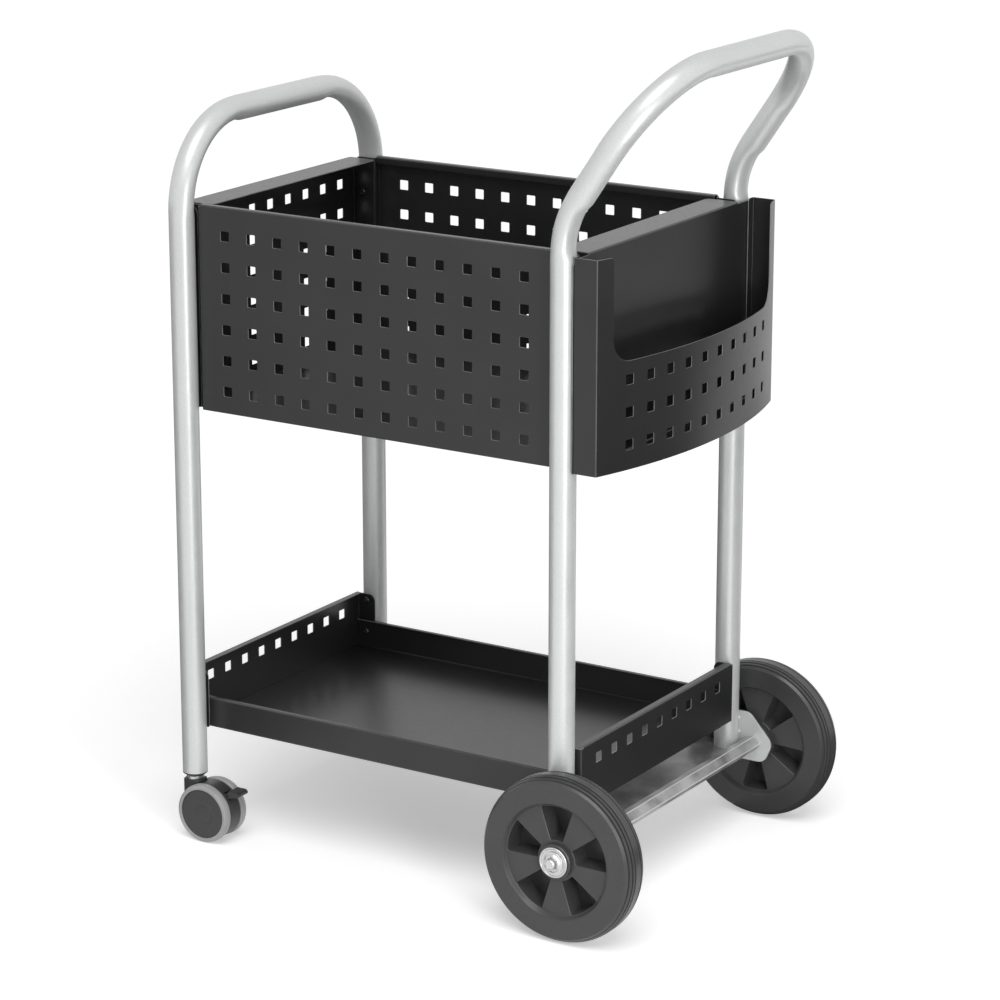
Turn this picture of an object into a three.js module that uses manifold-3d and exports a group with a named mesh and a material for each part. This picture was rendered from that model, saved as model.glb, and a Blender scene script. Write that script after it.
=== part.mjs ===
// Mobile file cart: a bent tube frame that carries a perforated basket with a bowed rear pocket,
// a low shelf, two large wheels on a fixed rear axle and two braked twin-wheel swivel casters.
// Millimetres, +Z up, +X towards the push handle, origin on the floor under the middle of the cart.

import * as THREE from "three";
import { mergeGeometries, mergeVertices } from "three/addons/utils/BufferGeometryUtils.js";
import Module from "manifold-3d";

const wasm = await Module();
wasm.setup();

// Driving dimensions of the tube frame
const TUBE_R = 15.5;
const TUBE_WALL = 1.5;
const TUBE_SIDES = 16;
const SPAN_X = 532;
const SPAN_Y = 401;
const FRONT_FOOT_Z = 84;
const FRONT_BAR_Z = 899;
const REAR_FOOT_Z = 97;
const HANDLE_Z = 1006;
const HANDLE_REACH = 118;
const KNEE_Z = 833;
const BEND_R = 110;
const LOOP_STEPS = 7;
const KNEE_STEPS = 3;

// Driving dimensions of the sheet metal
const SHEET = 1.2;
const GAP = 0.3;
const CORNER_STEPS = 4;
const FLANGE_GAP = 0.8;
const BASKET_LOW = 548;
const BASKET_HIGH = 800;
const LIP_Z = 797.5;
const LIP_WIDE = 42;
const LIP_HALF = 174;
const PANEL_INSET = 8;
const PANEL_CLEAR_X = 18;
const RAIL_WIDE = 10;
const RAIL_DROP = 9;
const FLANGE_LONG = 27;
const TAB_REACH = 10;
const FLOOR_FLANGE = 12;
const HOLE = 12.2;
const PITCH = 38;
const SIDE_COLUMNS = 12;
const END_COLUMNS = 9;
const HOLE_ROWS = 6;
const TOP_ROW_Z = 765;

// Driving dimensions of the rear pocket
const POCKET_HALF = 208.5;
const POCKET_SIDE = 48;
const POCKET_BOW = 33;
const POCKET_LOW = 549.5;
const POCKET_HIGH = 798;
const POCKET_FLANGE = 12;
const POCKET_STEPS = 16;
const CUTOUT_HALF = 184;
const CUTOUT_LOW = 676.5;
const CUTOUT_CORNER = 27;
const POCKET_COLUMNS = 10;
const POCKET_ROWS = 3;
const POCKET_PITCH_Y = 35.5;
const POCKET_TOP_ROW_Z = 655;

// Driving dimensions of the shelf
const SHELF_LOW = 138.5;
const TRAY_HIGH = 177;
const TRAY_HEM = 6;
const SHELF_PANEL_HIGH = 214;
const SHELF_LIP = 9;
const SHELF_COLUMNS = 9;
const SHELF_PITCH = 36;
const SHELF_ROW_Z = 191.5;
const SCREW_HEIGHTS = [160, 203];
const SCREW_X = 2;
const SCREW_HEAD_R = 4.5;
const SCREW_HEAD_H = 2.4;
const SCREW_R = 2.4;
const SCREW_HOLE_R = 2.8;
const SCREW_LONG = 8;
const SCREW_SIDES = 8;

// Driving dimensions of the rear axle and wheels
const AXLE_BACK = 28;
const AXLE_R = 6;
const AXLE_SIDES = 12;
const BEAM_SHEET = 1.6;
// Fold lines of the beam: distance behind the uprights, height above the web
const BEAM_FOLDS = [[34.6, -4.2], [40.5, 4.3], [32, 13.8], [19.5, 10.5], [17.5, 0], [-72, 0], [-72, -18]];
const BRACKET_THICK = 3;
// Corners of the bracket: distance behind the uprights, height, corner radius
const BRACKET_CORNERS = [[-5, 76.5, 6], [46, 76.5, 14], [57, 103, 14], [24, 140, 14], [-5, 140, 6]];
const WHEEL_R = 101;
const WHEEL_WIDE = 40;
const WHEEL_FACE_OUT = 62;
const WHEEL_SIDES = 36;
const TYRE_SHOULDER = 9;
const HUB_R = 71.5;
const HUB_FACE = 15.5;
const RIM_IN_R = 66;
const RIM_OUT_R = 70;
const RIM_HALF = 19.5;
const BOSS_R = 21.5;
const BOSS_HALF = 20.5;
const BUSH_R = 8;
const SPOKES = 5;
const RECESS_IN_R = 26;
const RECESS_OUT_R = 65.5;
const OUTER_HALF_ANGLE = THREE.MathUtils.degToRad(19);
const INNER_HALF_ANGLE = THREE.MathUtils.degToRad(12.5);
const RECESS_FLOOR = 2.5;
const WASHER_R = 18.5;
const WASHER_THICK = 1.6;
const PUSH_NUT_R = 13.4;
const PUSH_NUT_THICK = 3.4;
const AXLE_PROUD = 5;
const AXLE_CHAMFER = 2;
const SPACER_R = 12;
const NUT_RIM = 1;
const NUT_CROWN_R = 9;

// Driving dimensions of the casters
const TRAIL = 25;
const CASTER_R = 37.5;
const CASTER_SIDES = 24;
const CASTER_IN = 11.2;
const CASTER_OUT = 22.5;
const DISC_R = 31;
const DISC_DISH = 2;
const TREAD_ROUND = 2.5;
const PIN_R = 4;
const STEM_R = 5.5;
const STEM_LOW = 56;
const STEM_HIGH = 108;
const COLLAR_R = 11;
const COLLAR_LOW = 75.3;
const COLLAR_HIGH = 79.2;
const SOCKET_FLANGE_R = 15.5;
const SOCKET_FLANGE_H = 1.2;
const SOCKET_LOW_R = 11.4;
const SOCKET_R = 13.2;
const SOCKET_HIGH = 112;
const NECK_HALF_X = 11;
const NECK_TOP = 75;
const NECK_CHAMFER = 2;
const NECK_LOW = 46;
const BODY_HALF_Y = 10.5;
const HOOD_R = 36;
const BODY_LOW_ANGLE = THREE.MathUtils.degToRad(-62);
const HOOD_STEPS = 14;
const LEVER_ANGLE = THREE.MathUtils.degToRad(42);
const LEVER_PIVOT_R = 33;
const LEVER_ROOT_R = 4;
const LEVER_ROOT_HALF = 6.5;
const LEVER_HALF_Y = 10;
const LEVER_PIN_R = 1.5;
const EAR_R = 4.6;
// Outlines of the brake lever's neck and paddle, from its pivot
const LEVER_NECK = [[2.5, -2.5], [9, 1.5], [9, 8], [-2, 3]];
const LEVER_PADDLE = [[7, 0], [23.5, 5], [23.5, 9], [7, 9]];
const SMALL_SIDES = 10;

// Colours and finishes
function finish(color, roughness, metalness) {
  return () => new THREE.MeshStandardMaterial({ color, roughness, metalness });
}

const silverPaint = finish(0xc6c8c8, 0.4, 0.4);
const blackPaint = finish(0x2b2b2d, 0.45, 0.1);
const zinc = finish(0xa9adac, 0.35, 0.9);
const rubber = finish(0x48484a, 0.75, 0);
const hubPlastic = finish(0x3a3a3c, 0.55, 0);
const greyTread = finish(0x8e908f, 0.6, 0);
const discPlastic = finish(0x4c4d4f, 0.5, 0);
const blackPlastic = finish(0x323232, 0.5, 0);

const cart = new THREE.Group();

function addPiece(name, geometry, material) {
  const mesh = new THREE.Mesh(geometry, material);
  mesh.name = name;
  cart.add(mesh);
}

// Solids: joining and cutting closed meshes
function toSolid(geometry) {
  const bare = geometry.clone();
  bare.deleteAttribute("normal");
  bare.deleteAttribute("uv");
  const merged = mergeVertices(bare);
  return new wasm.Manifold(new wasm.Mesh({
    numProp: 3,
    vertProperties: new Float32Array(merged.attributes.position.array),
    triVerts: new Uint32Array(merged.index.array),
  }));
}

function toGeometry(solid) {
  const mesh = solid.getMesh();
  const geometry = new THREE.BufferGeometry();
  geometry.setAttribute("position", new THREE.BufferAttribute(mesh.vertProperties, 3));
  geometry.setIndex(new THREE.BufferAttribute(mesh.triVerts, 1));
  geometry.computeVertexNormals();
  return geometry;
}

function join(...geometries) {
  return toGeometry(geometries.map(toSolid).reduce((sum, solid) => sum.add(solid)));
}

function cut(geometry, ...tools) {
  return toGeometry(tools.map(toSolid).reduce((rest, tool) => rest.subtract(tool), toSolid(geometry)));
}

function mirroredY(geometry) {
  const copy = mergeVertices(geometry.clone().deleteAttribute("normal").deleteAttribute("uv"));
  copy.scale(1, -1, 1);
  const order = copy.index.array;
  for (let i = 0; i < order.length; i += 3) {
    [order[i], order[i + 1]] = [order[i + 1], order[i]];
  }
  copy.computeVertexNormals();
  return copy;
}

// Prisms: a section drawn in two axes and drawn out along the third
const AXIS_X = new THREE.Vector3(1, 0, 0);
const AXIS_Y = new THREE.Vector3(0, 1, 0);
const AXIS_Z = new THREE.Vector3(0, 0, 1);
const FROM_YZ = new THREE.Matrix4().makeBasis(AXIS_Y, AXIS_Z, AXIS_X);
const FROM_XZ = new THREE.Matrix4().makeBasis(AXIS_X, AXIS_Z, AXIS_Y.clone().negate());

function prismZ(shape, low, high) {
  const geometry = new THREE.ExtrudeGeometry(shape, { depth: high - low, bevelEnabled: false });
  return geometry.translate(0, 0, low);
}

function prismX(shape, low, high) {
  return prismZ(shape, low, high).applyMatrix4(FROM_YZ);
}

function prismY(shape, low, high) {
  return prismZ(shape, -high, -low).applyMatrix4(FROM_XZ);
}

function box(low, high) {
  const size = new THREE.Vector3().subVectors(high, low);
  const middle = new THREE.Vector3().addVectors(low, high).multiplyScalar(0.5);
  return new THREE.BoxGeometry(size.x, size.y, size.z).translate(middle.x, middle.y, middle.z);
}

function polygon(radius, sides, centreX = 0, centreY = 0) {
  const points = [];
  for (let i = 0; i < sides; i += 1) {
    const angle = (2 * Math.PI * (i + 0.5)) / sides;
    points.push(new THREE.Vector2(centreX + radius * Math.cos(angle), centreY + radius * Math.sin(angle)));
  }
  return points;
}

function disc(radius, sides, centreX = 0, centreY = 0) {
  return new THREE.Shape(polygon(radius, sides, centreX, centreY));
}

function ring(outer, inner, sides) {
  const shape = disc(outer, sides);
  shape.holes.push(new THREE.Path(polygon(inner, sides)));
  return shape;
}

function outline(points) {
  return new THREE.Shape(points.map(([a, b]) => new THREE.Vector2(a, b)));
}

// Arc points about a centre, from one angle to another
function arc(centreX, centreY, radius, from, to, steps) {
  const points = [];
  for (let i = 0; i <= steps; i += 1) {
    const angle = from + ((to - from) * i) / steps;
    points.push([centreX + radius * Math.cos(angle), centreY + radius * Math.sin(angle)]);
  }
  return points;
}

// A polygon whose corners are rounded, each corner being [a, b, radius]
function roundedOutline(corners, steps) {
  const points = [];
  corners.forEach(([a, b, radius], i) => {
    const here = new THREE.Vector2(a, b);
    const before = corners[(i + corners.length - 1) % corners.length];
    const after = corners[(i + 1) % corners.length];
    const into = here.clone().sub(new THREE.Vector2(before[0], before[1])).normalize();
    const outOf = new THREE.Vector2(after[0], after[1]).sub(here).normalize();
    const turn = Math.atan2(into.cross(outOf), into.dot(outOf));
    const start = here.clone().addScaledVector(into, -radius * Math.tan(Math.abs(turn) / 2));
    const inward = new THREE.Vector2(-into.y, into.x).multiplyScalar(Math.sign(turn));
    for (let k = 0; k <= steps; k += 1) {
      const angle = (Math.abs(turn) * k) / steps;
      const point = start.clone().addScaledVector(into, radius * Math.sin(angle));
      points.push(point.addScaledVector(inward, radius * (1 - Math.cos(angle))));
    }
  });
  return new THREE.Shape(points);
}

// The section of a folded sheet: a line of folds, thickened to its left with mitred corners
function foldedSheet(points, thickness) {
  const line = points.map(([a, b]) => new THREE.Vector2(a, b));
  const leftOf = (from, to) => new THREE.Vector2(from.y - to.y, to.x - from.x).normalize();
  const inner = line.map((point, i) => {
    const first = i > 0 ? leftOf(line[i - 1], point) : leftOf(point, line[i + 1]);
    const second = i < line.length - 1 ? leftOf(point, line[i + 1]) : first;
    const mitre = first.clone().add(second).divideScalar(1 + first.dot(second));
    return point.clone().addScaledVector(mitre, thickness);
  });
  return new THREE.Shape([...line, ...inner.reverse()]);
}

// A turned piece about the Y axis, flat side down; its profile is [radius, y], outside going up
function turned(profile, sides) {
  const points = profile.map(([radius, y]) => new THREE.Vector2(radius, y));
  return new THREE.LatheGeometry(points, sides, Math.PI / sides, 2 * Math.PI);
}

// A bent tube: its centre line is straight runs joined by arcs, with one ring at each end of a run
class BentLine extends THREE.Curve {
  constructor(corners, radii, steps) {
    super();
    this.points = [corners[0]];
    this.tangents = [corners[1].clone().sub(corners[0]).normalize()];
    for (let i = 1; i < corners.length - 1; i += 1) {
      this.addBend(corners[i - 1], corners[i], corners[i + 1], radii[i - 1], steps[i - 1]);
    }
    this.points.push(corners.at(-1));
    this.tangents.push(corners.at(-1).clone().sub(corners.at(-2)).normalize());
  }

  addBend(before, corner, after, radius, steps) {
    const into = corner.clone().sub(before).normalize();
    const outOf = after.clone().sub(corner).normalize();
    const turn = into.angleTo(outOf);
    const start = corner.clone().addScaledVector(into, -radius * Math.tan(turn / 2));
    const inward = outOf.clone().addScaledVector(into, -into.dot(outOf)).normalize();
    for (let k = 0; k <= steps; k += 1) {
      const angle = (turn * k) / steps;
      const point = start.clone().addScaledVector(into, radius * Math.sin(angle));
      this.points.push(point.addScaledVector(inward, radius * (1 - Math.cos(angle))));
      const tangent = into.clone().multiplyScalar(Math.cos(angle));
      this.tangents.push(tangent.addScaledVector(inward, Math.sin(angle)));
    }
  }

  get runs() {
    return this.points.length - 1;
  }

  getPointAt(u, target = new THREE.Vector3()) {
    return target.copy(this.points[Math.round(u * this.runs)]);
  }

  getTangentAt(u, target = new THREE.Vector3()) {
    return target.copy(this.tangents[Math.round(u * this.runs)]);
  }
}

function bentTube(corners, radii, steps) {
  const line = new BentLine(corners, radii, steps);
  const section = ring(TUBE_R, TUBE_R - TUBE_WALL, TUBE_SIDES);
  return new THREE.ExtrudeGeometry(section, { steps: line.runs, extrudePath: line });
}

// Places shared by several pieces
const UPRIGHT_Y = SPAN_Y / 2;
const TUBE_INSIDE_Y = UPRIGHT_Y - TUBE_R;
const FLANGE_OUT_Y = TUBE_INSIDE_Y - FLANGE_GAP;
const FLANGE_IN_Y = FLANGE_OUT_Y - SHEET;
const FRONT_PLATE_X = -TUBE_R - GAP;
const REAR_PLATE_X = SPAN_X + TUBE_R + GAP;
const AXLE_X = SPAN_X + AXLE_BACK;
const AXLE_Z = WHEEL_R;

// Square holes in rows and columns, as cutters that reach through a plate
function holeGrid(columns, pitchAcross, rows, topZ, placeHole) {
  const holes = [];
  for (let column = 0; column < columns; column += 1) {
    const across = (column - (columns - 1) / 2) * pitchAcross;
    for (let row = 0; row < rows; row += 1) {
      holes.push(placeHole(across, topZ - row * PITCH));
    }
  }
  return mergeGeometries(holes);
}

function squareHole(deepX, deepY, x, y, z) {
  return new THREE.BoxGeometry(deepX, deepY, HOLE).translate(x, y, z);
}

// Screws that hold the shelf to the uprights, with the holes that they pass through
function screwPlaces() {
  const places = [];
  for (const side of [-1, 1]) {
    for (const x of [-SCREW_X, SPAN_X + SCREW_X]) {
      SCREW_HEIGHTS.forEach((z) => places.push({ side, x, z }));
    }
  }
  return places;
}

function screwHoles() {
  const holes = screwPlaces().map(({ side, x, z }) => {
    const shape = disc(SCREW_HOLE_R, SCREW_SIDES, x, z);
    const inside = side * (FLANGE_IN_Y - SCREW_LONG);
    const outside = side * (FLANGE_IN_Y + SCREW_LONG);
    return prismY(shape, Math.min(inside, outside), Math.max(inside, outside));
  });
  return mergeGeometries(holes);
}

function screw({ side, x, z }) {
  const seat = z < TRAY_HIGH ? FLANGE_IN_Y - 2 * GAP - SHEET : FLANGE_IN_Y - GAP;
  const head = prismY(disc(SCREW_HEAD_R, SCREW_SIDES, x, z), seat - SCREW_HEAD_H, seat);
  const shank = prismY(disc(SCREW_R, SCREW_SIDES, x, z), seat - SCREW_HEAD_H / 2, seat + SCREW_LONG);
  const whole = join(head, shank);
  return side > 0 ? whole : mirroredY(whole);
}

// Tube frames
function frontFrame() {
  const corners = [
    new THREE.Vector3(0, -UPRIGHT_Y, FRONT_FOOT_Z),
    new THREE.Vector3(0, -UPRIGHT_Y, FRONT_BAR_Z),
    new THREE.Vector3(0, UPRIGHT_Y, FRONT_BAR_Z),
    new THREE.Vector3(0, UPRIGHT_Y, FRONT_FOOT_Z),
  ];
  return bentTube(corners, [BEND_R, BEND_R], [LOOP_STEPS, LOOP_STEPS]);
}

function rearFrame() {
  const handleX = SPAN_X + HANDLE_REACH;
  const corners = [
    new THREE.Vector3(SPAN_X, -UPRIGHT_Y, REAR_FOOT_Z),
    new THREE.Vector3(SPAN_X, -UPRIGHT_Y, KNEE_Z),
    new THREE.Vector3(handleX, -UPRIGHT_Y, HANDLE_Z),
    new THREE.Vector3(handleX, UPRIGHT_Y, HANDLE_Z),
    new THREE.Vector3(SPAN_X, UPRIGHT_Y, KNEE_Z),
    new THREE.Vector3(SPAN_X, UPRIGHT_Y, REAR_FOOT_Z),
  ];
  const radii = [BEND_R, BEND_R, BEND_R, BEND_R];
  return bentTube(corners, radii, [KNEE_STEPS, LOOP_STEPS, LOOP_STEPS, KNEE_STEPS]);
}

// Basket side: a perforated panel with joggled end tabs and a folded top rail
function sidePanel() {
  const outY = UPRIGHT_Y - PANEL_INSET;
  const frontTabY = FLANGE_IN_Y - GAP;
  const farX = SPAN_X - PANEL_CLEAR_X;
  const plan = foldedSheet([
    [SPAN_X + TAB_REACH, FLANGE_OUT_Y],
    [farX, FLANGE_OUT_Y],
    [farX, outY],
    [PANEL_CLEAR_X, outY],
    [PANEL_CLEAR_X, frontTabY],
    [-TAB_REACH, frontTabY],
  ], SHEET);
  const rail = foldedSheet([
    [outY - SHEET / 2, BASKET_HIGH],
    [outY - RAIL_WIDE, BASKET_HIGH],
    [outY - RAIL_WIDE, BASKET_HIGH - RAIL_DROP],
  ], SHEET);
  const body = join(
    prismZ(plan, BASKET_LOW, BASKET_HIGH),
    prismX(rail, PANEL_CLEAR_X + 2 * SHEET, farX - 2 * SHEET),
  );
  const holes = holeGrid(SIDE_COLUMNS, PITCH, HOLE_ROWS, TOP_ROW_Z, (across, z) => (
    squareHole(HOLE, 4 * SHEET, SPAN_X / 2 + across, outY - SHEET / 2, z)
  ));
  return cut(body, holes);
}

// An end plate between two uprights, with flanges along the uprights and a lip folded inwards
function endPanel({ plateX, inward, low, high, lipWide, lipHalf }) {
  const flangeX = plateX + inward * FLANGE_LONG;
  const folds = [
    [flangeX, -FLANGE_OUT_Y],
    [plateX, -FLANGE_OUT_Y],
    [plateX, FLANGE_OUT_Y],
    [flangeX, FLANGE_OUT_Y],
  ];
  const plan = foldedSheet(inward > 0 ? folds.reverse() : folds, SHEET);
  const lipX = plateX + inward * lipWide;
  const lip = box(
    new THREE.Vector3(Math.min(plateX, lipX), -lipHalf, high - SHEET),
    new THREE.Vector3(Math.max(plateX, lipX), lipHalf, high),
  );
  return join(prismZ(plan, low, high), lip);
}

function frontEndPanel() {
  const panel = endPanel({
    plateX: FRONT_PLATE_X, inward: 1, low: BASKET_LOW, high: LIP_Z, lipWide: LIP_WIDE, lipHalf: LIP_HALF,
  });
  const holes = holeGrid(END_COLUMNS, PITCH, HOLE_ROWS, TOP_ROW_Z, (across, z) => (
    squareHole(4 * SHEET, HOLE, FRONT_PLATE_X, across, z)
  ));
  return cut(panel, holes);
}

function shelfEndPanel(plateX, inward) {
  const panel = endPanel({
    plateX, inward, low: SHELF_LOW - SHEET, high: SHELF_PANEL_HIGH,
    lipWide: SHELF_LIP, lipHalf: FLANGE_IN_Y,
  });
  const holes = holeGrid(SHELF_COLUMNS, SHELF_PITCH, 1, SHELF_ROW_Z, (across, z) => (
    squareHole(4 * SHEET, HOLE, plateX, across, z)
  ));
  return cut(panel, holes, screwHoles());
}

// The plain plate behind the rear uprights, with its lip folded forwards between them
function rearEndPanel() {
  const plate = box(
    new THREE.Vector3(REAR_PLATE_X, -POCKET_HALF, BASKET_LOW),
    new THREE.Vector3(REAR_PLATE_X + SHEET, POCKET_HALF, LIP_Z),
  );
  const lip = box(
    new THREE.Vector3(REAR_PLATE_X + SHEET - LIP_WIDE, -LIP_HALF, LIP_Z - SHEET),
    new THREE.Vector3(REAR_PLATE_X + SHEET / 2, LIP_HALF, LIP_Z),
  );
  return join(plate, lip);
}

// Basket floor: a plate that fills the space inside the panels, with low flanges along its sides
function basketFloor() {
  const wideHalf = UPRIGHT_Y - PANEL_INSET - SHEET - GAP;
  const narrowHalf = FLANGE_IN_Y - 2 * GAP - SHEET;
  const frontX = FRONT_PLATE_X + SHEET + GAP;
  const rearX = REAR_PLATE_X - GAP;
  const sideFrontX = PANEL_CLEAR_X + SHEET + GAP;
  const sideRearX = SPAN_X - PANEL_CLEAR_X - SHEET - GAP;
  const plate = prismZ(outline([
    [frontX, -narrowHalf], [sideFrontX, -narrowHalf], [sideFrontX, -wideHalf], [sideRearX, -wideHalf],
    [sideRearX, -narrowHalf], [rearX, -narrowHalf], [rearX, narrowHalf], [sideRearX, narrowHalf],
    [sideRearX, wideHalf], [sideFrontX, wideHalf], [sideFrontX, narrowHalf], [frontX, narrowHalf],
  ]), BASKET_LOW, BASKET_LOW + SHEET);
  const flange = box(
    new THREE.Vector3(sideFrontX, wideHalf - SHEET, BASKET_LOW),
    new THREE.Vector3(sideRearX, wideHalf, BASKET_LOW + FLOOR_FLANGE),
  );
  return join(plate, flange, mirroredY(flange));
}

// Rear pocket: bowed front with an open upper middle, closed below, flanged against the rear plate
const BOW_R = (POCKET_HALF ** 2 + POCKET_BOW ** 2) / (2 * POCKET_BOW);
const BOW_CENTRE_X = SPAN_X + POCKET_SIDE + POCKET_BOW - BOW_R;
const BOW_ANGLE = Math.asin(POCKET_HALF / BOW_R);

function rearPocket() {
  const backX = REAR_PLATE_X + SHEET + GAP;
  const bow = arc(BOW_CENTRE_X, 0, BOW_R, -BOW_ANGLE, BOW_ANGLE, POCKET_STEPS);
  const wall = foldedSheet([
    [backX, POCKET_FLANGE - POCKET_HALF], [backX, -POCKET_HALF],
    ...bow,
    [backX, POCKET_HALF], [backX, POCKET_HALF - POCKET_FLANGE],
  ], SHEET);
  const base = outline([[backX, -POCKET_HALF], ...bow, [backX, POCKET_HALF]]);
  const body = join(
    prismZ(wall, POCKET_LOW, POCKET_HIGH),
    prismZ(base, POCKET_LOW, POCKET_LOW + SHEET),
  );
  const above = POCKET_HIGH + CUTOUT_CORNER;
  const opening = prismX(roundedOutline([
    [-CUTOUT_HALF, above, 0], [-CUTOUT_HALF, CUTOUT_LOW, CUTOUT_CORNER],
    [CUTOUT_HALF, CUTOUT_LOW, CUTOUT_CORNER], [CUTOUT_HALF, above, 0],
  ], CORNER_STEPS), backX + 4 * SHEET, SPAN_X + 2 * POCKET_SIDE);
  const pitchAngle = POCKET_PITCH_Y / BOW_R;
  const holes = holeGrid(POCKET_COLUMNS, pitchAngle, POCKET_ROWS, POCKET_TOP_ROW_Z, (angle, z) => {
    const hole = squareHole(8 * SHEET, HOLE, BOW_R - SHEET / 2, 0, z);
    return hole.rotateZ(angle).translate(BOW_CENTRE_X, 0, 0);
  });
  return cut(body, opening, holes);
}

// Shelf tray: a floor with low side walls that are hemmed at the top
function shelfTray() {
  const half = FLANGE_IN_Y - GAP;
  const section = foldedSheet([
    [TRAY_HEM - half, TRAY_HIGH], [-half, TRAY_HIGH], [-half, SHELF_LOW],
    [half, SHELF_LOW], [half, TRAY_HIGH], [half - TRAY_HEM, TRAY_HIGH],
  ], SHEET);
  const tray = prismX(section, FRONT_PLATE_X + SHEET + GAP, REAR_PLATE_X - SHEET);
  return cut(tray, screwHoles());
}

// Axle beam: a web under the rear uprights, folded over the axle behind and turned down in front
function axleBeam() {
  const webTop = REAR_FOOT_Z - GAP;
  const folds = BEAM_FOLDS.map(([back, up]) => [SPAN_X + back, webTop + up]);
  const half = UPRIGHT_Y + TUBE_R;
  return prismY(foldedSheet(folds, BEAM_SHEET), -half, half);
}

// Wheel bracket: a rounded plate outside the upright that holds the axle
function wheelBracket() {
  const corners = BRACKET_CORNERS.map(([back, z, radius]) => [SPAN_X + back, z, radius]);
  const shape = roundedOutline(corners, CORNER_STEPS);
  shape.holes.push(new THREE.Path(polygon(AXLE_R + GAP, AXLE_SIDES, AXLE_X, AXLE_Z)));
  const inside = UPRIGHT_Y + TUBE_R + GAP;
  return prismY(shape, inside, inside + BRACKET_THICK);
}

// Rear wheel pieces, turned about the wheel's own middle with the outside towards +Y
const WHEEL_MID_Y = UPRIGHT_Y + WHEEL_FACE_OUT - WHEEL_WIDE / 2;

function tyre() {
  const half = WHEEL_WIDE / 2;
  const inner = HUB_R + GAP;
  const tread = WHEEL_R / Math.cos(Math.PI / WHEEL_SIDES);
  const bend = TYRE_SHOULDER / 3;
  const outside = [
    [inner, half], [WHEEL_R - TYRE_SHOULDER, half],
    [WHEEL_R - bend, half - bend], [tread, half - TYRE_SHOULDER],
  ];
  const inside = outside.map(([radius, y]) => [radius, -y]);
  return turned([...inside, ...outside.reverse(), inside[0]], WHEEL_SIDES);
}

// A wedge-shaped recess between two spokes, centred on an angle
function recess(middle, halfAngle, low, high) {
  const shape = outline([
    ...arc(0, 0, RECESS_OUT_R, middle - halfAngle, middle + halfAngle, 4),
    ...arc(0, 0, RECESS_IN_R, middle + halfAngle, middle - halfAngle, 2),
  ]);
  return prismY(shape, low, high);
}

// Hub: a raised rim, five deep recesses in the outer face and five in the inner face behind the spokes
function hub() {
  const outside = [
    [HUB_R, RIM_HALF], [RIM_OUT_R, RIM_HALF], [RIM_IN_R, HUB_FACE],
    [BOSS_R, HUB_FACE], [BOSS_R, BOSS_HALF], [BUSH_R + GAP, BOSS_HALF],
  ];
  const inside = outside.map(([radius, y]) => [radius, -y]).reverse();
  const body = turned([...inside, ...outside, inside[0]], WHEEL_SIDES);
  const floor = HUB_FACE - RECESS_FLOOR;
  const past = HUB_FACE + 1;
  const step = (2 * Math.PI) / SPOKES;
  const recesses = [];
  for (let i = 0; i < SPOKES; i += 1) {
    const middle = Math.PI / 2 + step * i;
    recesses.push(recess(middle, OUTER_HALF_ANGLE, -floor, past));
    recesses.push(recess(middle + step / 2, INNER_HALF_ANGLE, -past, floor));
  }
  return cut(body, mergeGeometries(recesses));
}

function sleeve(outer, inner, low, high) {
  return turned([[inner, low], [outer, low], [outer, high], [inner, high], [inner, low]], AXLE_SIDES);
}

function wheelPieces() {
  const bracketFace = UPRIGHT_Y + TUBE_R + GAP + BRACKET_THICK - WHEEL_MID_Y;
  const washerLow = BOSS_HALF + GAP;
  const nutLow = washerLow + WASHER_THICK + GAP;
  const bore = AXLE_R + GAP;
  return {
    tyre: { geometry: tyre(), material: rubber },
    hub: { geometry: hub(), material: hubPlastic },
    bush: { geometry: sleeve(BUSH_R, bore, -BOSS_HALF, BOSS_HALF), material: zinc },
    spacer: { geometry: sleeve(SPACER_R, bore, bracketFace + GAP, -BOSS_HALF - GAP), material: zinc },
    washer: { geometry: sleeve(WASHER_R, bore, washerLow, washerLow + WASHER_THICK), material: zinc },
    push_nut: {
      geometry: turned([
        [bore, nutLow], [PUSH_NUT_R, nutLow], [PUSH_NUT_R, nutLow + NUT_RIM],
        [NUT_CROWN_R, nutLow + PUSH_NUT_THICK], [bore, nutLow + PUSH_NUT_THICK], [bore, nutLow],
      ], AXLE_SIDES),
      material: zinc,
    },
  };
}

function axleRod() {
  const end = WHEEL_MID_Y + BOSS_HALF + WASHER_THICK + PUSH_NUT_THICK + AXLE_PROUD;
  return turned([
    [0, -end], [AXLE_R - AXLE_CHAMFER, -end], [AXLE_R, AXLE_CHAMFER - end],
    [AXLE_R, end - AXLE_CHAMFER], [AXLE_R - AXLE_CHAMFER, end], [0, end],
  ], AXLE_SIDES).translate(AXLE_X, 0, AXLE_Z);
}

// Caster pieces, about the swivel axis at x = 0, y = 0
const HUB_X = TRAIL;
const HUB_Z = CASTER_R;
const PIVOT_X = HUB_X + LEVER_PIVOT_R * Math.cos(LEVER_ANGLE);
const PIVOT_Z = HUB_Z + LEVER_PIVOT_R * Math.sin(LEVER_ANGLE);

function casterSocket() {
  const bore = STEM_R + GAP;
  const flangeTop = FRONT_FOOT_Z - GAP;
  return turned([
    [bore, COLLAR_HIGH + GAP], [SOCKET_LOW_R, COLLAR_HIGH + GAP],
    [SOCKET_FLANGE_R, flangeTop - SOCKET_FLANGE_H], [SOCKET_FLANGE_R, flangeTop],
    [SOCKET_R, flangeTop], [SOCKET_R, SOCKET_HIGH], [bore, SOCKET_HIGH], [bore, COLLAR_HIGH + GAP],
  ], AXLE_SIDES).rotateX(Math.PI / 2);
}

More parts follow.
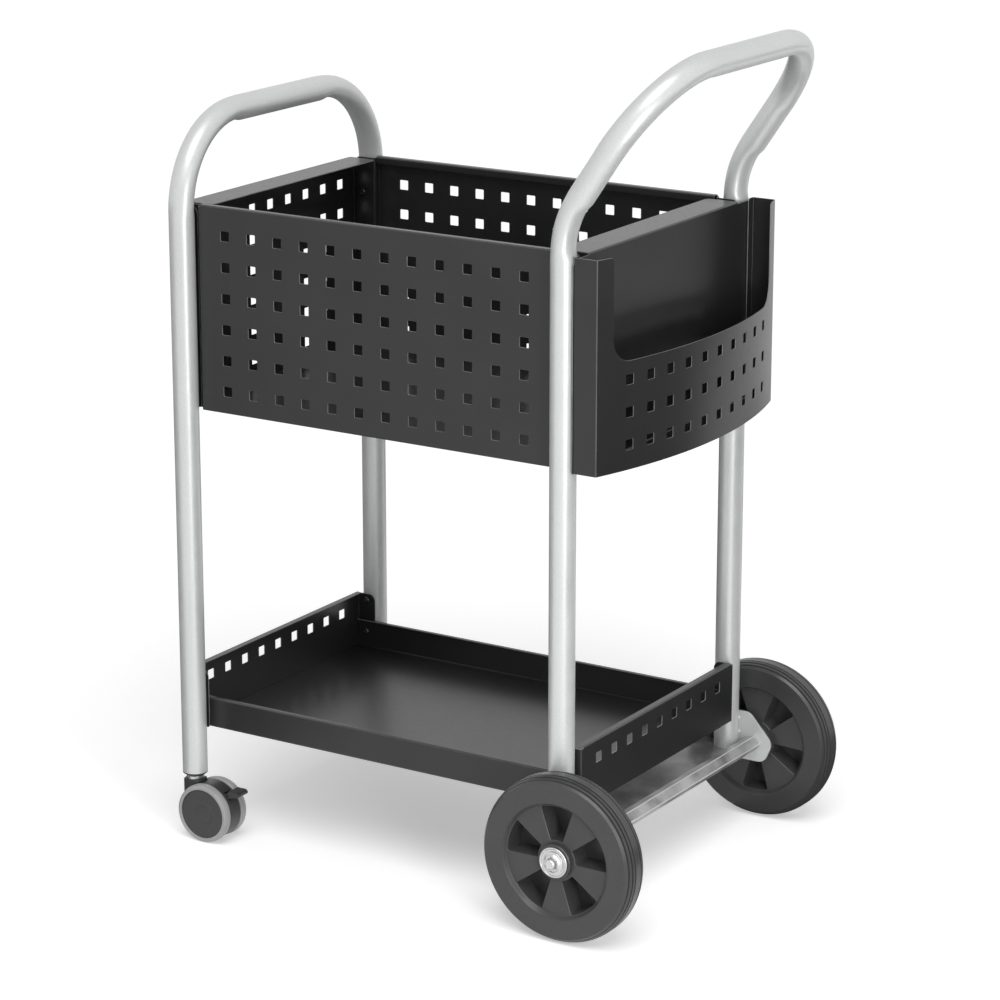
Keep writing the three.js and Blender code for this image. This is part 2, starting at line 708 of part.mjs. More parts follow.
function casterStem() {
  return turned([
    [0, STEM_LOW], [STEM_R, STEM_LOW], [STEM_R, COLLAR_LOW], [COLLAR_R, COLLAR_LOW],
    [COLLAR_R, COLLAR_HIGH], [STEM_R, COLLAR_HIGH], [STEM_R, STEM_HIGH], [0, STEM_HIGH],
  ], AXLE_SIDES).rotateX(Math.PI / 2);
}

function casterBody() {
  const hoodStart = Math.acos((NECK_HALF_X - HUB_X) / HOOD_R);
  const shape = outline([
    [-NECK_HALF_X, NECK_LOW],
    ...arc(HUB_X, HUB_Z, HOOD_R, BODY_LOW_ANGLE, hoodStart, HOOD_STEPS),
    [NECK_HALF_X, NECK_TOP - NECK_CHAMFER], [NECK_HALF_X - NECK_CHAMFER, NECK_TOP],
    [NECK_CHAMFER - NECK_HALF_X, NECK_TOP], [-NECK_HALF_X, NECK_TOP - NECK_CHAMFER],
  ]);
  const ears = prismY(disc(EAR_R, SMALL_SIDES, PIVOT_X, PIVOT_Z), -BODY_HALF_Y, BODY_HALF_Y);
  const slotHalf = LEVER_ROOT_HALF + GAP;
  const slotReach = LEVER_ROOT_R + 1;
  const slot = box(
    new THREE.Vector3(LEVER_PIVOT_R - slotReach, -slotHalf, -slotReach),
    new THREE.Vector3(HOOD_R + 3 * EAR_R, slotHalf, slotReach),
  ).rotateY(-LEVER_ANGLE).translate(HUB_X, 0, HUB_Z);
  const stemBore = prismZ(disc(STEM_R + GAP, AXLE_SIDES), STEM_LOW - GAP, NECK_TOP + GAP);
  const pinBore = prismY(disc(PIN_R + GAP, AXLE_SIDES, HUB_X, HUB_Z), -CASTER_OUT, CASTER_OUT);
  const leverBore = prismY(disc(LEVER_PIN_R + GAP, SMALL_SIDES, PIVOT_X, PIVOT_Z), -CASTER_OUT, CASTER_OUT);
  return cut(join(prismY(shape, -BODY_HALF_Y, BODY_HALF_Y), ears), slot, stemBore, pinBore, leverBore);
}

function brakeLever() {
  const root = prismY(disc(LEVER_ROOT_R, SMALL_SIDES, PIVOT_X, PIVOT_Z), -LEVER_ROOT_HALF, LEVER_ROOT_HALF);
  const fromPivot = ([x, z]) => [PIVOT_X + x, PIVOT_Z + z];
  const neck = prismY(outline(LEVER_NECK.map(fromPivot)), -LEVER_ROOT_HALF, LEVER_ROOT_HALF);
  const paddle = prismY(outline(LEVER_PADDLE.map(fromPivot)), -LEVER_HALF_Y, LEVER_HALF_Y);
  const bore = prismY(disc(LEVER_PIN_R + GAP, SMALL_SIDES, PIVOT_X, PIVOT_Z), -CASTER_OUT, CASTER_OUT);
  return cut(join(root, neck, paddle), bore);
}

function casterDisc() {
  const boreEnd = CASTER_OUT - 2 * DISC_DISH - 1;
  return turned([
    [0, boreEnd], [PIN_R + GAP, boreEnd], [PIN_R + GAP, CASTER_IN], [DISC_R, CASTER_IN],
    [DISC_R, CASTER_OUT - DISC_DISH / 2], [DISC_R / 2, CASTER_OUT - DISC_DISH], [0, CASTER_OUT - DISC_DISH],
  ], CASTER_SIDES);
}

function casterTread() {
  const inner = DISC_R + GAP;
  const outer = CASTER_R / Math.cos(Math.PI / CASTER_SIDES);
  return turned([
    [inner, CASTER_IN], [outer - TREAD_ROUND, CASTER_IN], [outer, CASTER_IN + TREAD_ROUND],
    [outer, CASTER_OUT - TREAD_ROUND], [outer - TREAD_ROUND, CASTER_OUT], [inner, CASTER_OUT],
    [inner, CASTER_IN],
  ], CASTER_SIDES);
}

function casterPieces() {
  const pinEnd = CASTER_OUT - 3 * DISC_DISH;
  const axlePin = prismY(disc(PIN_R, AXLE_SIDES, HUB_X, HUB_Z), -pinEnd, pinEnd);
  const leverPin = prismY(disc(LEVER_PIN_R, SMALL_SIDES, PIVOT_X, PIVOT_Z), -BODY_HALF_Y, BODY_HALF_Y);
  const discRight = casterDisc().translate(HUB_X, 0, HUB_Z);
  const treadRight = casterTread().translate(HUB_X, 0, HUB_Z);
  return {
    socket: { geometry: casterSocket(), material: blackPlastic },
    stem: { geometry: casterStem(), material: zinc },
    body: { geometry: casterBody(), material: blackPlastic },
    axle_pin: { geometry: axlePin, material: zinc },
    disc_a: { geometry: mirroredY(discRight), material: discPlastic },
    disc_b: { geometry: discRight, material: discPlastic },
    tread_a: { geometry: mirroredY(treadRight), material: greyTread },
    tread_b: { geometry: treadRight, material: greyTread },
    brake_lever: { geometry: brakeLever(), material: blackPlastic },
    brake_pin: { geometry: leverPin, material: zinc },
  };
}

// Assembly
addPiece("front_frame", cut(frontFrame(), screwHoles()), silverPaint());
addPiece("rear_frame", cut(rearFrame(), screwHoles()), silverPaint());
addPiece("side_panel_right", sidePanel(), blackPaint());
addPiece("side_panel_left", mirroredY(sidePanel()), blackPaint());
addPiece("front_end_panel", frontEndPanel(), blackPaint());
addPiece("rear_end_panel", rearEndPanel(), blackPaint());
addPiece("basket_floor", basketFloor(), blackPaint());
addPiece("rear_pocket", rearPocket(), blackPaint());
addPiece("shelf_tray", shelfTray(), blackPaint());
addPiece("shelf_front_panel", shelfEndPanel(FRONT_PLATE_X, 1), blackPaint());
addPiece("shelf_rear_panel", shelfEndPanel(REAR_PLATE_X + SHEET, -1), blackPaint());
screwPlaces().forEach((place, i) => addPiece(`shelf_screw_${i + 1}`, screw(place), blackPaint()));

addPiece("axle_beam", axleBeam(), zinc());
addPiece("wheel_bracket_right", wheelBracket(), silverPaint());
addPiece("wheel_bracket_left", mirroredY(wheelBracket()), silverPaint());
addPiece("axle_rod", axleRod(), zinc());

for (const [name, { geometry, material }] of Object.entries(wheelPieces())) {
  const right = geometry.translate(AXLE_X, WHEEL_MID_Y, AXLE_Z);
  addPiece(`wheel_${name}_right`, right, material());
  addPiece(`wheel_${name}_left`, mirroredY(right), material());
}

for (const [label, side] of [["left", -1], ["right", 1]]) {
  for (const [name, { geometry, material }] of Object.entries(casterPieces())) {
    addPiece(`caster_${name}_${label}`, geometry.translate(0, side * UPRIGHT_Y, 0), material());
  }
}

// The origin lies under the middle of the cart's length
const bounds = new THREE.Box3().setFromObject(cart);
cart.position.x = -(bounds.min.x + bounds.max.x) / 2;

export default cart;
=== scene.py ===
"""Looks of a mobile file cart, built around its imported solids.

Shapes are drawn in millimetres in the cart's own frame: x runs from the front uprights towards the
push handle, y across from the middle of the cart and z up from the floor.
"""

from math import acos, asin, atan2, copysign, cos, dist, pi, radians, sin, tan

import bmesh
import bpy
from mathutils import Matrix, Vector
from mathutils.geometry import delaunay_2d_cdt


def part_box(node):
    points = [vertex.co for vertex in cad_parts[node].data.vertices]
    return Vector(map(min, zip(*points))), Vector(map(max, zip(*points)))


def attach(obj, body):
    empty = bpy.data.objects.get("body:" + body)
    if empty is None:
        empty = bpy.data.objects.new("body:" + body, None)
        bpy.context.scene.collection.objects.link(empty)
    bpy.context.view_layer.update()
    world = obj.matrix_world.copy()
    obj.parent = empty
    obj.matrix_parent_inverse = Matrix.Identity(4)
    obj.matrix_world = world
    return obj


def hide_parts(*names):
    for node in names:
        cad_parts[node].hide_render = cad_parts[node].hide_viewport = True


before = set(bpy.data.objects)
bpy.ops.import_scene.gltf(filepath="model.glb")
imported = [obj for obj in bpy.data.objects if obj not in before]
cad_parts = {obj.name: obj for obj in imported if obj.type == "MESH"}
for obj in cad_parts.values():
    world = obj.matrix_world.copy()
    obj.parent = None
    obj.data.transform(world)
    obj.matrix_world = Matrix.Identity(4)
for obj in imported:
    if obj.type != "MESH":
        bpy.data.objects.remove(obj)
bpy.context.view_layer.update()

# The cart's own frame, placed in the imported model's frame in metres
MM = 0.001
front_low, front_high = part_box("front_frame")
CART_X = (front_low[0] + front_high[0]) / 2

# Tube frame
TUBE_R = 15.5
TUBE_WALL = 1.5
TUBE_SIDES = 48
SPAN_X = 532
UPRIGHT_Y = 200.5
FRONT_FOOT_Z = 84
FRONT_BAR_Z = 899
REAR_FOOT_Z = 97
KNEE_Z = 833
HANDLE_X = 650
HANDLE_Z = 1006
BEND_R = 110
BEND_STEP = 5
SQUEEZE_RAMP = 16
SQUEEZE_STEPS = 4
SQUEEZE_INSIDE = 0.17
SQUEEZE_OUTSIDE = 0.05
SQUEEZE_SIDEWAYS = 0.03

# Sheet metal
SHEET = 1.2
FOLD_R = 2.2
FOLD_CLEAR = 0.2
FOLD_TURN = radians(11)
SHARP_FOLD_R = 6
# Strength of the painted highlight along the crest of sharp folds
FOLD_HIGHLIGHT = 0.18
SOFT_EDGE = 0.28
SMALL_CORNER = 2
MEDIUM_CORNER = 3
LARGE_CORNER = 4
HOLE = 12.2
HOLE_CORNER = 1.0
PITCH = 38
HOLE_ROWS = 6
SIDE_COLUMNS = 12
END_COLUMNS = 9
TOP_ROW_Z = 765
BASKET_LOW = 548
BASKET_HIGH = 800
LIP_Z = 797.5
LIP_WIDE = 42
LIP_HALF = 174
LIP_CORNER = 8
FLANGE_OUT_Y = 184.2
FLANGE_LONG = 27
FLANGE_CORNER = 9
PANEL_Y = 192.5
FRONT_TAB_Y = 182.7
PANEL_CLEAR_X = 18
TAB_REACH = 10
TAB_CORNER = 5
RAIL_WIDE = 10
RAIL_DROP = 9
FRONT_PLATE_X = -15.8
REAR_PLATE_X = 549.0
BOTTOM_HALF = 191
BOTTOM_END_HALF = 181.2
BOTTOM_FLANGE = 12
BOTTOM_ENDS_X = (-14.3, 547.5)
BOTTOM_FLANGE_X = (19.5, 512.5)

# Rear pocket
POCKET_HALF = 208.5
POCKET_BACK_X = 549.3
POCKET_SIDE_X = 580
POCKET_BOW = 33
POCKET_LOW = 549.5
POCKET_HIGH = 798
POCKET_FLANGE = 12
POCKET_COLUMNS = 10
POCKET_ROWS = 3
POCKET_PITCH = 35.5
POCKET_TOP_ROW_Z = 655
CUTOUT_HALF = 184
CUTOUT_LOW = 676.5
CUTOUT_CORNER = 27
BOW_R = (POCKET_HALF ** 2 + POCKET_BOW ** 2) / (2 * POCKET_BOW)
BOW_ANGLE = asin(POCKET_HALF / BOW_R)
BOW_STEPS = 24

# Shelf
TRAY_HALF = 182.7
TRAY_LOW = 138.5
TRAY_HIGH = 177
TRAY_HEM = 6
TRAY_ENDS_X = (-14.3, 546.6)
SHELF_PANEL_LOW = 137.3
SHELF_PANEL_HIGH = 214
SHELF_LIP = 9
SHELF_LIP_HALF = 179
SHELF_PITCH = 36
SHELF_ROW_Z = 191.5

# Screws
SCREW_HEIGHTS = (160, 203)
BASKET_SCREW_HEIGHTS = (590, 752)
SCREW_X = 2
SCREW_HEAD_R = 4.5
SCREW_HEAD_H = 2.4
SCREW_SIDE_H = 1.08
SCREW_TOP_R = 3
SCREW_SHANK_R = 2.4
SCREW_SHANK = 8
CROSS_R = 2.6
CROSS_MOUTH_R = 2.3
CROSS_FLOOR_R = 1.9
CROSS_FLOOR_H = 1.1
CROSS_ARM_SHARE = 0.34375

# Rear axle and wheels
AXLE_X = 560
AXLE_Z = 101
AXLE_R = 6
AXLE_END = 273
AXLE_CHAMFER = 0.9
BEAM_SHEET = 1.6
BEAM_FOLD_R = 3
BEAM_WEB_Z = 96.7
BEAM_HALF = 216
# Fold lines of the beam: distance behind the uprights, height above the web
BEAM_FOLDS = ((34.6, -4.2), (40.5, 4.3), (32, 13.8), (19.5, 10.5), (17.5, 0), (-72, 0), (-72, -18))
BRACKET_OUT_Y = 219.3
BRACKET_THICK = 3
BRACKET_SOFT = 0.5
# Corners of the bracket: distance behind the uprights, height, corner radius
BRACKET_CORNERS = ((-5, 76.5, 6), (46, 76.5, 14), (57, 103, 14), (24, 140, 14), (-5, 140, 6))
WELD_BACK = 8
WELD_HEIGHTS = (112, 130)
# Profile of a weld spot: radius, height
WELD_DOME = ((3.4, -0.2), (2.9, 1.0), (1.6, 1.7), (0, 1.9))
WHEEL_MID_Y = 242.5
WHEEL_R = 101
WHEEL_HALF = 20
WHEEL_SIDES = 120
TYRE_GAP = 0.05
TYRE_LAP = 1
TYRE_EDGE_R = 95
TYRE_FLAT = 6.5
CROWN_POWER = 1.6
GROOVES = (6.5, 11, 15.5)
GROOVE_HALF = 1.1
GROOVE_FLOOR_HALF = 0.66
GROOVE_DEEP = 2.2
HUB_R = 71.5
HUB_FACE = 14.6
RIM_IN_R = 67
RIM_STEP_R = 67.5
RIM_STEP = 15.2
RIM_OUT_R = 70.4
RIM_HALF = 20
BOSS_R = 21.5
BOSS_HALF = 20.5
BOSS_CHAMFER = 1
BUSH_R = 8.3
SPOKES = 5
RECESS_IN_R = 25.5
RECESS_OUT_R = 66.2
RECESS_CORNER = 1.6
RECESS_EDGE = 0.5
RECESS_TAPER = 1.4
RECESS_STEP = radians(2.6)
OUTER_RECESS_HALF = radians(18.5)
INNER_RECESS_HALF = radians(15.5)
RECESS_DEEP = 26
WASHER_R = 18.5
WASHER_SEAT = 20.8
PUSH_NUT_R = 13.4
PUSH_NUT_SEAT = 21.7
PETALS = 6
SLIT_HALF = radians(7)
SLIT_OUT_R = 10.5
SLIT_DEEP = 1.1
SPACER_R = 12
SPACER_ENDS = (-23, -20.8)

# Casters, about the swivel axis
HUB_X = 25
CASTER_R = 37.5
CASTER_IN = 11.2
CASTER_OUT = 22.5
DISC_R = 31
DISC_DISH_R = 14
DISC_BORE_R = 4.3
STEM_R = 5.5
STEM_LOW = 56
STEM_HIGH = 108
COLLAR_R = 11
COLLAR_LOW = 75.3
COLLAR_HIGH = 79.2
SOCKET_R = 13.2
SOCKET_LOW_R = 11.4
SOCKET_HIGH = 112
NECK_HALF_X = 12.4
NECK_TOP = 75
NECK_LOW = 46
NECK_FOOT = 48
NECK_SHOULDER = 52
NECK_FRONT_X = -5
NECK_POWER = 5
BODY_HALF_Y = 10.9
BODY_LOW_ANGLE = radians(-62)
BODY_SOFT = 1.4
FLUSH = 0.02
HOOD_R = 36
HOOD_STEPS = 40
SLOTTED_STEPS = (26, 22)
SLOT_HALF_Y = 6.8
SLOT_REACH = 5
SLOT_CORNER = 1
EAR_R = 4.6
EAR_SOFT = 0.8
PIVOT_R = 33
PIVOT_ANGLE = radians(42)
PIVOT_X = HUB_X + PIVOT_R * cos(PIVOT_ANGLE)
PIVOT_Z = CASTER_R + PIVOT_R * sin(PIVOT_ANGLE)
LEVER_ROOT_R = 4
LEVER_ROOT_HALF = 6.5
LEVER_ROOT_SOFT = 0.4
LEVER_HALF = 10
LEVER_SOFT = 0.2
LEVER_BACK = 7
LEVER_TOP = 9
LEVER_REACH = 23.5
LEVER_TIP = 5
LEVER_RIBS = 6
LEVER_RIB_START = 1.6
LEVER_RIB_PITCH = 2.4
# Corners of a rib: distance behind its front, height
LEVER_RIB = ((0, 0), (0.6, 1.7), (1.3, 1.7), (1.9, 0))
# Corners of the lever's neck from its pivot: along, up, corner radius
LEVER_NECK = ((2.5, -2.5, 1), (9, 1.5, 0), (9, 8, 0), (-2, 3, 2))

# Sides of the round pieces
WELD_SIDES = 20
PIN_SIDES = 32
ROD_SIDES = 40
SOCKET_SIDES = 48
NECK_SIDES = 64
DISC_SIDES = 72

# Small shared values
CLEAR = 0.3
SOFT_TURNING = 0.3
SOFT_TURN = radians(22)
SOFT_SHARE = 0.45
FLAT_TURN = radians(2)
FINE_TURN = radians(9)
CORNER_TURN = radians(18)
COARSE_TURN = radians(30)
LEVER_TURN = radians(40)
WELD_DISTANCE = 1e-6
SHARP_ANGLE = radians(28)
NEAR = 1e-6
ON_CUT = 1e-5
APART = 1e-4
NUDGE = 1e-3
LEFT_RIGHT = (("left", -1), ("right", 1))
FRONT_REAR = (("front", FRONT_PLATE_X, 1), ("rear", REAR_PLATE_X, -1))

# Studio: places in metres, the lens in millimetres
FLOOR_HALF = 30.0
FLOOR_GREY = 0.9
CARD_LIFT = 0.002
SENSOR_MM = 36
LENS_MM = 126.64
CAMERA_AT = (2.1896, -3.4864, 1.6092)
CAMERA_AIM = (0.0085, -0.0182, 0.4402)

AXIS_X = Vector((1, 0, 0))
AXIS_Y = Vector((0, 1, 0))
AXIS_Z = Vector((0, 0, 1))


# Meshes and pieces
def place(point):
    """A point of the cart's own frame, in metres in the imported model's frame."""
    return (CART_X + point[0] * MM, point[1] * MM, point[2] * MM)


class Draft:
    """A mesh in the making: points with their normals and a value for worn cut edges and painted
    highlights, and faces.
    """

    def __init__(self):
        self.points = []
        self.normals = []
        self.wear_and_highlight = []
        self.faces = []

    def add(self, point, normal, wear_and_highlight=0.0):
        self.points.append(Vector(point))
        self.normals.append(normal)
        self.wear_and_highlight.append(wear_and_highlight)
        return len(self.points) - 1

    def face(self, corners, flipped):
        self.faces.append(tuple(reversed(corners)) if flipped else tuple(corners))

    def join(self, lower, upper, flipped=False):
        """Faces between two rings of points, either of which may be a single point."""
        sides = max(len(lower), len(upper))
        for k in range(sides):
            after = (k + 1) % sides
            corners = [ring[i % len(ring)] for ring, i in
                       ((lower, k), (lower, after), (upper, after), (upper, k))]
            self.face(list(dict.fromkeys(corners)), flipped)

    def build(self, name, finish, body, *nodes, welded=False):
        """Makes the piece with the material of the finish, and hides the nodes it replaces."""
        material, slot = finish
        mesh = bpy.data.meshes.new(name)
        mesh.from_pydata([place(point) for point in self.points], [], self.faces)
        # A per-point value for worn cut edges and the painted highlights on edges and folds, which the
        # materials read
        mesh.attributes.new("edge_wear_and_highlight", "FLOAT", "POINT").data.foreach_set("value", self.wear_and_highlight)
        if welded:
            weld(mesh)
        mesh.shade_smooth()
        if welded:
            mesh.set_sharp_from_angle(angle=SHARP_ANGLE)
        else:
            mesh.normals_split_custom_set_from_vertices([normal.normalized() for normal in self.normals])
        mesh.materials.append(material)
        piece = bpy.data.objects.new(name, mesh)
        bpy.context.scene.collection.objects.link(piece)
        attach(piece, body)
        if nodes:
            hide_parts(*nodes)


def weld(mesh):
    """Joins the points that lie on one another."""
    work = bmesh.new()
    work.from_mesh(mesh)
    bmesh.ops.remove_doubles(work, verts=work.verts, dist=WELD_DISTANCE)
    work.to_mesh(mesh)
    work.free()


# Outlines in the plane
def spread(start, end, steps):
    return [start + (end - start) * k / steps for k in range(steps + 1)]


def smooth_step(share):
    share = min(max(share, 0.0), 1.0)
    return share * share * (3 - 2 * share)


def arc_points(centre, radius, start, end, steps):
    return [
        (centre[0] + radius * cos(angle), centre[1] + radius * sin(angle))
        for angle in spread(start, end, steps)
    ]


def left_of(direction):
    return Vector((-direction.y, direction.x))


def bend_angle(into, out_of):
    return atan2(into.cross(out_of), into.dot(out_of))


def turning_points(loop):
    """The points of a loop, each with the directions into and out of it."""
    points = [Vector(corner[:2]) for corner in loop]
    sides = [(after - here).normalized() for here, after in zip(points, points[1:] + points[:1])]
    return zip(points, sides[-1:] + sides[:-1], sides)


def corner_arc(here, into, out_of, radius, turn_step):
    """Points round a corner between two directions, each with the heading there."""
    turn = bend_angle(into, out_of)
    start = here - into * radius * tan(abs(turn) / 2)
    inward = left_of(into) * copysign(1, turn)
    arc = []
    for angle in spread(0, abs(turn), max(2, round(abs(turn) / turn_step))):
        point = start + into * radius * sin(angle) + inward * radius * (1 - cos(angle))
        arc.append((point, into * cos(angle) + inward * sin(angle)))
    return arc


def rounded_loop(corners, turn_step=CORNER_TURN):
    """A polygon with round corners, each corner being (u, v, radius)."""
    loop = []
    for (u, v, radius), (here, into, out_of) in zip(corners, turning_points(corners)):
        if radius < NEAR or abs(bend_angle(into, out_of)) < NEAR:
            loop.append((u, v))
        else:
            loop += [tuple(point) for point, _ in corner_arc(here, into, out_of, radius, turn_step)]
    return loop


def mirrored(half):
    """The corners of a whole outline from those of its right half, in order round it."""
    return half + [(-u, v, radius) for u, v, radius in reversed(half)]


def square_loop(u, v):
    half = HOLE / 2
    corners = ((-half, -half), (half, -half), (half, half), (-half, half))
    return rounded_loop([(u + a, v + b, HOLE_CORNER) for a, b in corners], COARSE_TURN)


def round_loop(u, v, radius, sides):
    """Points round a circle, the first one above its centre."""
    angles = [2 * pi * k / sides for k in range(sides)]
    return [(u + radius * sin(angle), v + radius * cos(angle)) for angle in angles]


def hole_grid(columns, pitch, rows, top, middle=0.0):
    """Square holes in columns about a middle, and in rows from the top one down."""
    left = middle - (columns - 1) / 2 * pitch
    return [square_loop(left + k * pitch, top - row * PITCH) for k in range(columns) for row in range(rows)]


def turned_loop(loop, anticlockwise):
    pairs = zip(loop, loop[1:] + loop[:1])
    double_area = sum(a[0] * b[1] - b[0] * a[1] for a, b in pairs)
    return loop if (double_area > 0) == anticlockwise else loop[::-1]


def holds(loops, u, v):
    """Whether a place is inside an outline and outside its holes."""
    inside = False
    for loop in loops:
        before = loop[-1]
        for here in loop:
            if (here[1] > v) != (before[1] > v):
                crossing = here[0] + (v - here[1]) * (before[0] - here[0]) / (before[1] - here[1])
                inside = inside != (u < crossing)
            before = here
    return inside


def miters(loop):
    """For each point of a loop, the step to its left that moves both its sides by one unit."""
    return [left_of(into + out_of) / (1 + into.dot(out_of)) for _, into, out_of in turning_points(loop)]


def moved(loops, steps, distance):
    return [
        [(u + step.x * distance, v + step.y * distance) for (u, v), step in zip(loop, loop_steps)]
        for loop, loop_steps in zip(loops, steps)
    ]


def joined(lists):
    return [item for items in lists for item in items]


def fill(loops, chords=()):
    """Triangles between an outline and its holes, as indices into their points."""
    points = []
    edges = list(chords)
    for loop in loops:
        count = len(loop)
        edges += [(len(points) + k, len(points) + (k + 1) % count) for k in range(count)]
        points += [Vector(point) for point in loop]
    verts, _, faces, origins, _, _ = delaunay_2d_cdt(points, edges, [], 0, NEAR)
    triangles = []
    for face in faces:
        middle = sum((verts[k] for k in face), Vector((0, 0))) / len(face)
        if holds(loops, *middle):
            triangles.append([origins[k][0] for k in face])
    return triangles


# Folded sheets
class Fold:
    """The section of a folded sheet: straight runs and round bends, with its thickness on the left.

    A place along it is a length from the zero point.
    """

    def __init__(self, start, heading, steps, zero):
        self.pieces = []
        point = Vector(start)
        along = -zero
        for length, turn in steps:
            self.pieces.append((along, length, point, heading, turn))
            point, heading = self.walk(point, heading, length, turn)
            along += length
        self.low = -zero
        self.high = along

    @staticmethod
    def walk(point, heading, length, turn):
        if abs(turn) < NEAR:
            return point + Vector((cos(heading), sin(heading))) * length, heading
        end = heading + turn
        step = Vector((sin(end) - sin(heading), cos(heading) - cos(end)))
        return point + step * length / turn, end

    def at(self, along):
        for start, length, point, heading, turn in self.pieces:
            if along <= start + length:
                break
        return self.walk(point, heading, along - start, turn * (along - start) / length)

    def ridge(self, along):
        """How near a place is to the crest of a sharp fold of the outer face, from 0 to 1."""
        for start, length, _, _, turn in self.pieces:
            if turn * SHARP_FOLD_R > length and start < along < start + length:
                return 1 - abs(2 * (along - start) / length - 1)
        return 0.0

    def cuts(self):
        """The places at which the bends are cut into flat strips."""
        places = []
        for start, length, _, _, turn in self.pieces:
            if abs(turn) > NEAR:
                places += spread(start, start + length, max(3, round(abs(turn) / FOLD_TURN)))
        return places


def folded(corners, main, radius=FOLD_R):
    """A fold through corner points, whose lengths equal the first axis on its main run."""
    points = [Vector(corner) for corner in corners]
    sides = [after - before for before, after in zip(points, points[1:])]
    turns = [bend_angle(into, out_of) for into, out_of in zip(sides, sides[1:])]
    setbacks = [0.0] + [radius * tan(abs(turn) / 2) for turn in turns] + [0.0]
    steps = []
    for k, side in enumerate(sides):
        steps.append((side.length - setbacks[k] - setbacks[k + 1], 0.0))
        if k < len(turns):
            steps.append((radius * abs(turns[k]), turns[k]))
    before_main = sum(length for length, _ in steps[:2 * main])
    zero = before_main - points[main].x - setbacks[main]
    return Fold(points[0], atan2(sides[0].y, sides[0].x), steps, zero)


def even_fold(right, main):
    """A fold whose left half mirrors the corners of its right half."""
    return folded([(-u, deep) for u, deep in reversed(right)] + right, main)


class Surface:
    """The outer face of a sheet that may be folded along two directions, and grows inwards."""

    def __init__(self, origin, across, up, inward, fold_across=None, fold_up=None):
        self.origin = Vector(origin)
        self.across = across
        self.up = up
        self.inward = inward
        self.folds = (fold_across, fold_up)
        self.flipped = across.cross(up).dot(inward) > 0

    @staticmethod
    def along(fold, length):
        if fold is None:
            return length, 0.0, 0.0
        point, heading = fold.at(length)
        return point.x, point.y, heading

    def at(self, u, v):
        """The point at (u, v), the two directions in the sheet there and the outward normal."""
        across, deep_u, tilt_u = self.along(self.folds[0], u)
        up, deep_v, tilt_v = self.along(self.folds[1], v)
        point = self.origin + self.across * across + self.up * up + self.inward * (deep_u + deep_v)
        along_u = self.across * cos(tilt_u) + self.inward * sin(tilt_u)
        along_v = self.up * cos(tilt_v) + self.inward * sin(tilt_v)
        outward = self.across * sin(tilt_u) + self.up * sin(tilt_v)
        outward -= self.inward * cos(tilt_u) * cos(tilt_v)
        return point, along_u, along_v, outward.normalized()

    def ridge(self, u, v):
        return max(fold.ridge(k) if fold else 0.0 for fold, k in zip(self.folds, (u, v)))

    def cuts(self):
        return [fold.cuts() if fold else [] for fold in self.folds]


def split_loop(loop, cuts):
    """The loop with extra points where it crosses the lines at which the sheet bends."""
    result = []
    for here, after in zip(loop, loop[1:] + loop[:1]):
        run = [end - start for start, end in zip(here, after)]
        shares = {0.0}
        for axis in (0, 1):
            if abs(run[axis]) > NEAR:
                shares.update((cut - here[axis]) / run[axis] for cut in cuts[axis])
        for share in sorted(shares):
            if -NEAR < share < 1 - APART:
                point = (here[0] + run[0] * share, here[1] + run[1] * share)
                if not result or dist(point, result[-1]) > APART:
                    result.append(point)
    return result


def bend_chords(loops, insets, cuts):
    """Edges across the sheet along the lines at which it bends."""
    points = joined(loops)
    inner = joined(insets)
    chords = []
    for axis in (0, 1):
        for cut in cuts[axis]:
            members = [k for k, point in enumerate(points) if abs(point[axis] - cut) < ON_CUT]
            members.sort(key=lambda k: points[k][1 - axis])
            for a, b in zip(members, members[1:]):
                middle = ((inner[a][i] + inner[b][i]) / 2 for i in (0, 1))
                if holds(insets, *middle):
                    chords.append((a, b))
    return chords


def plate(draft, loops, surface, thickness=SHEET, soft=SOFT_EDGE, soft_back=None):
    """A sheet with soft edges: its outline comes first, then its holes."""
    soft_back = soft if soft_back is None else soft_back
    cuts = surface.cuts()
    loops = [split_loop(turned_loop(loop, k == 0), cuts) for k, loop in enumerate(loops)]
    steps = [miters(loop) for loop in loops]
    insets = moved(loops, steps, soft)
    layers = (
        (insets, 0.0, 1), (loops, soft, 0),
        (loops, thickness - soft_back, 0), (moved(loops, steps, soft_back), thickness, -1),
    )
    rings = []
    for layer, depth, facing in layers:
        rings.append([])
        for loop, loop_steps in zip(layer, steps):
            ring = []
            for (u, v), left in zip(loop, loop_steps):
                point, along_u, along_v, outward = surface.at(u, v)
                normal = outward * facing if facing else -(along_u * left.x + along_v * left.y)
                # Cut edges get 1, for worn paint and a painted highlight; the crest of a sharp fold on the
                # outer face gets a fainter painted highlight
                wear_and_highlight = FOLD_HIGHLIGHT * surface.ridge(u, v) if facing > 0 else float(facing == 0)
                ring.append(draft.add(point - outward * depth, normal, wear_and_highlight))
            rings[-1].append(ring)
    front = joined(rings[0])
    back = joined(rings[-1])
    for triangle in fill(insets, bend_chords(loops, insets, cuts)):
        draft.face([front[k] for k in triangle], surface.flipped)
        draft.face([back[k] for k in reversed(triangle)], surface.flipped)
    for upper, lower in zip(rings, rings[1:]):
        for upper_ring, lower_ring in zip(upper, lower):
            draft.join(lower_ring, upper_ring, surface.flipped)


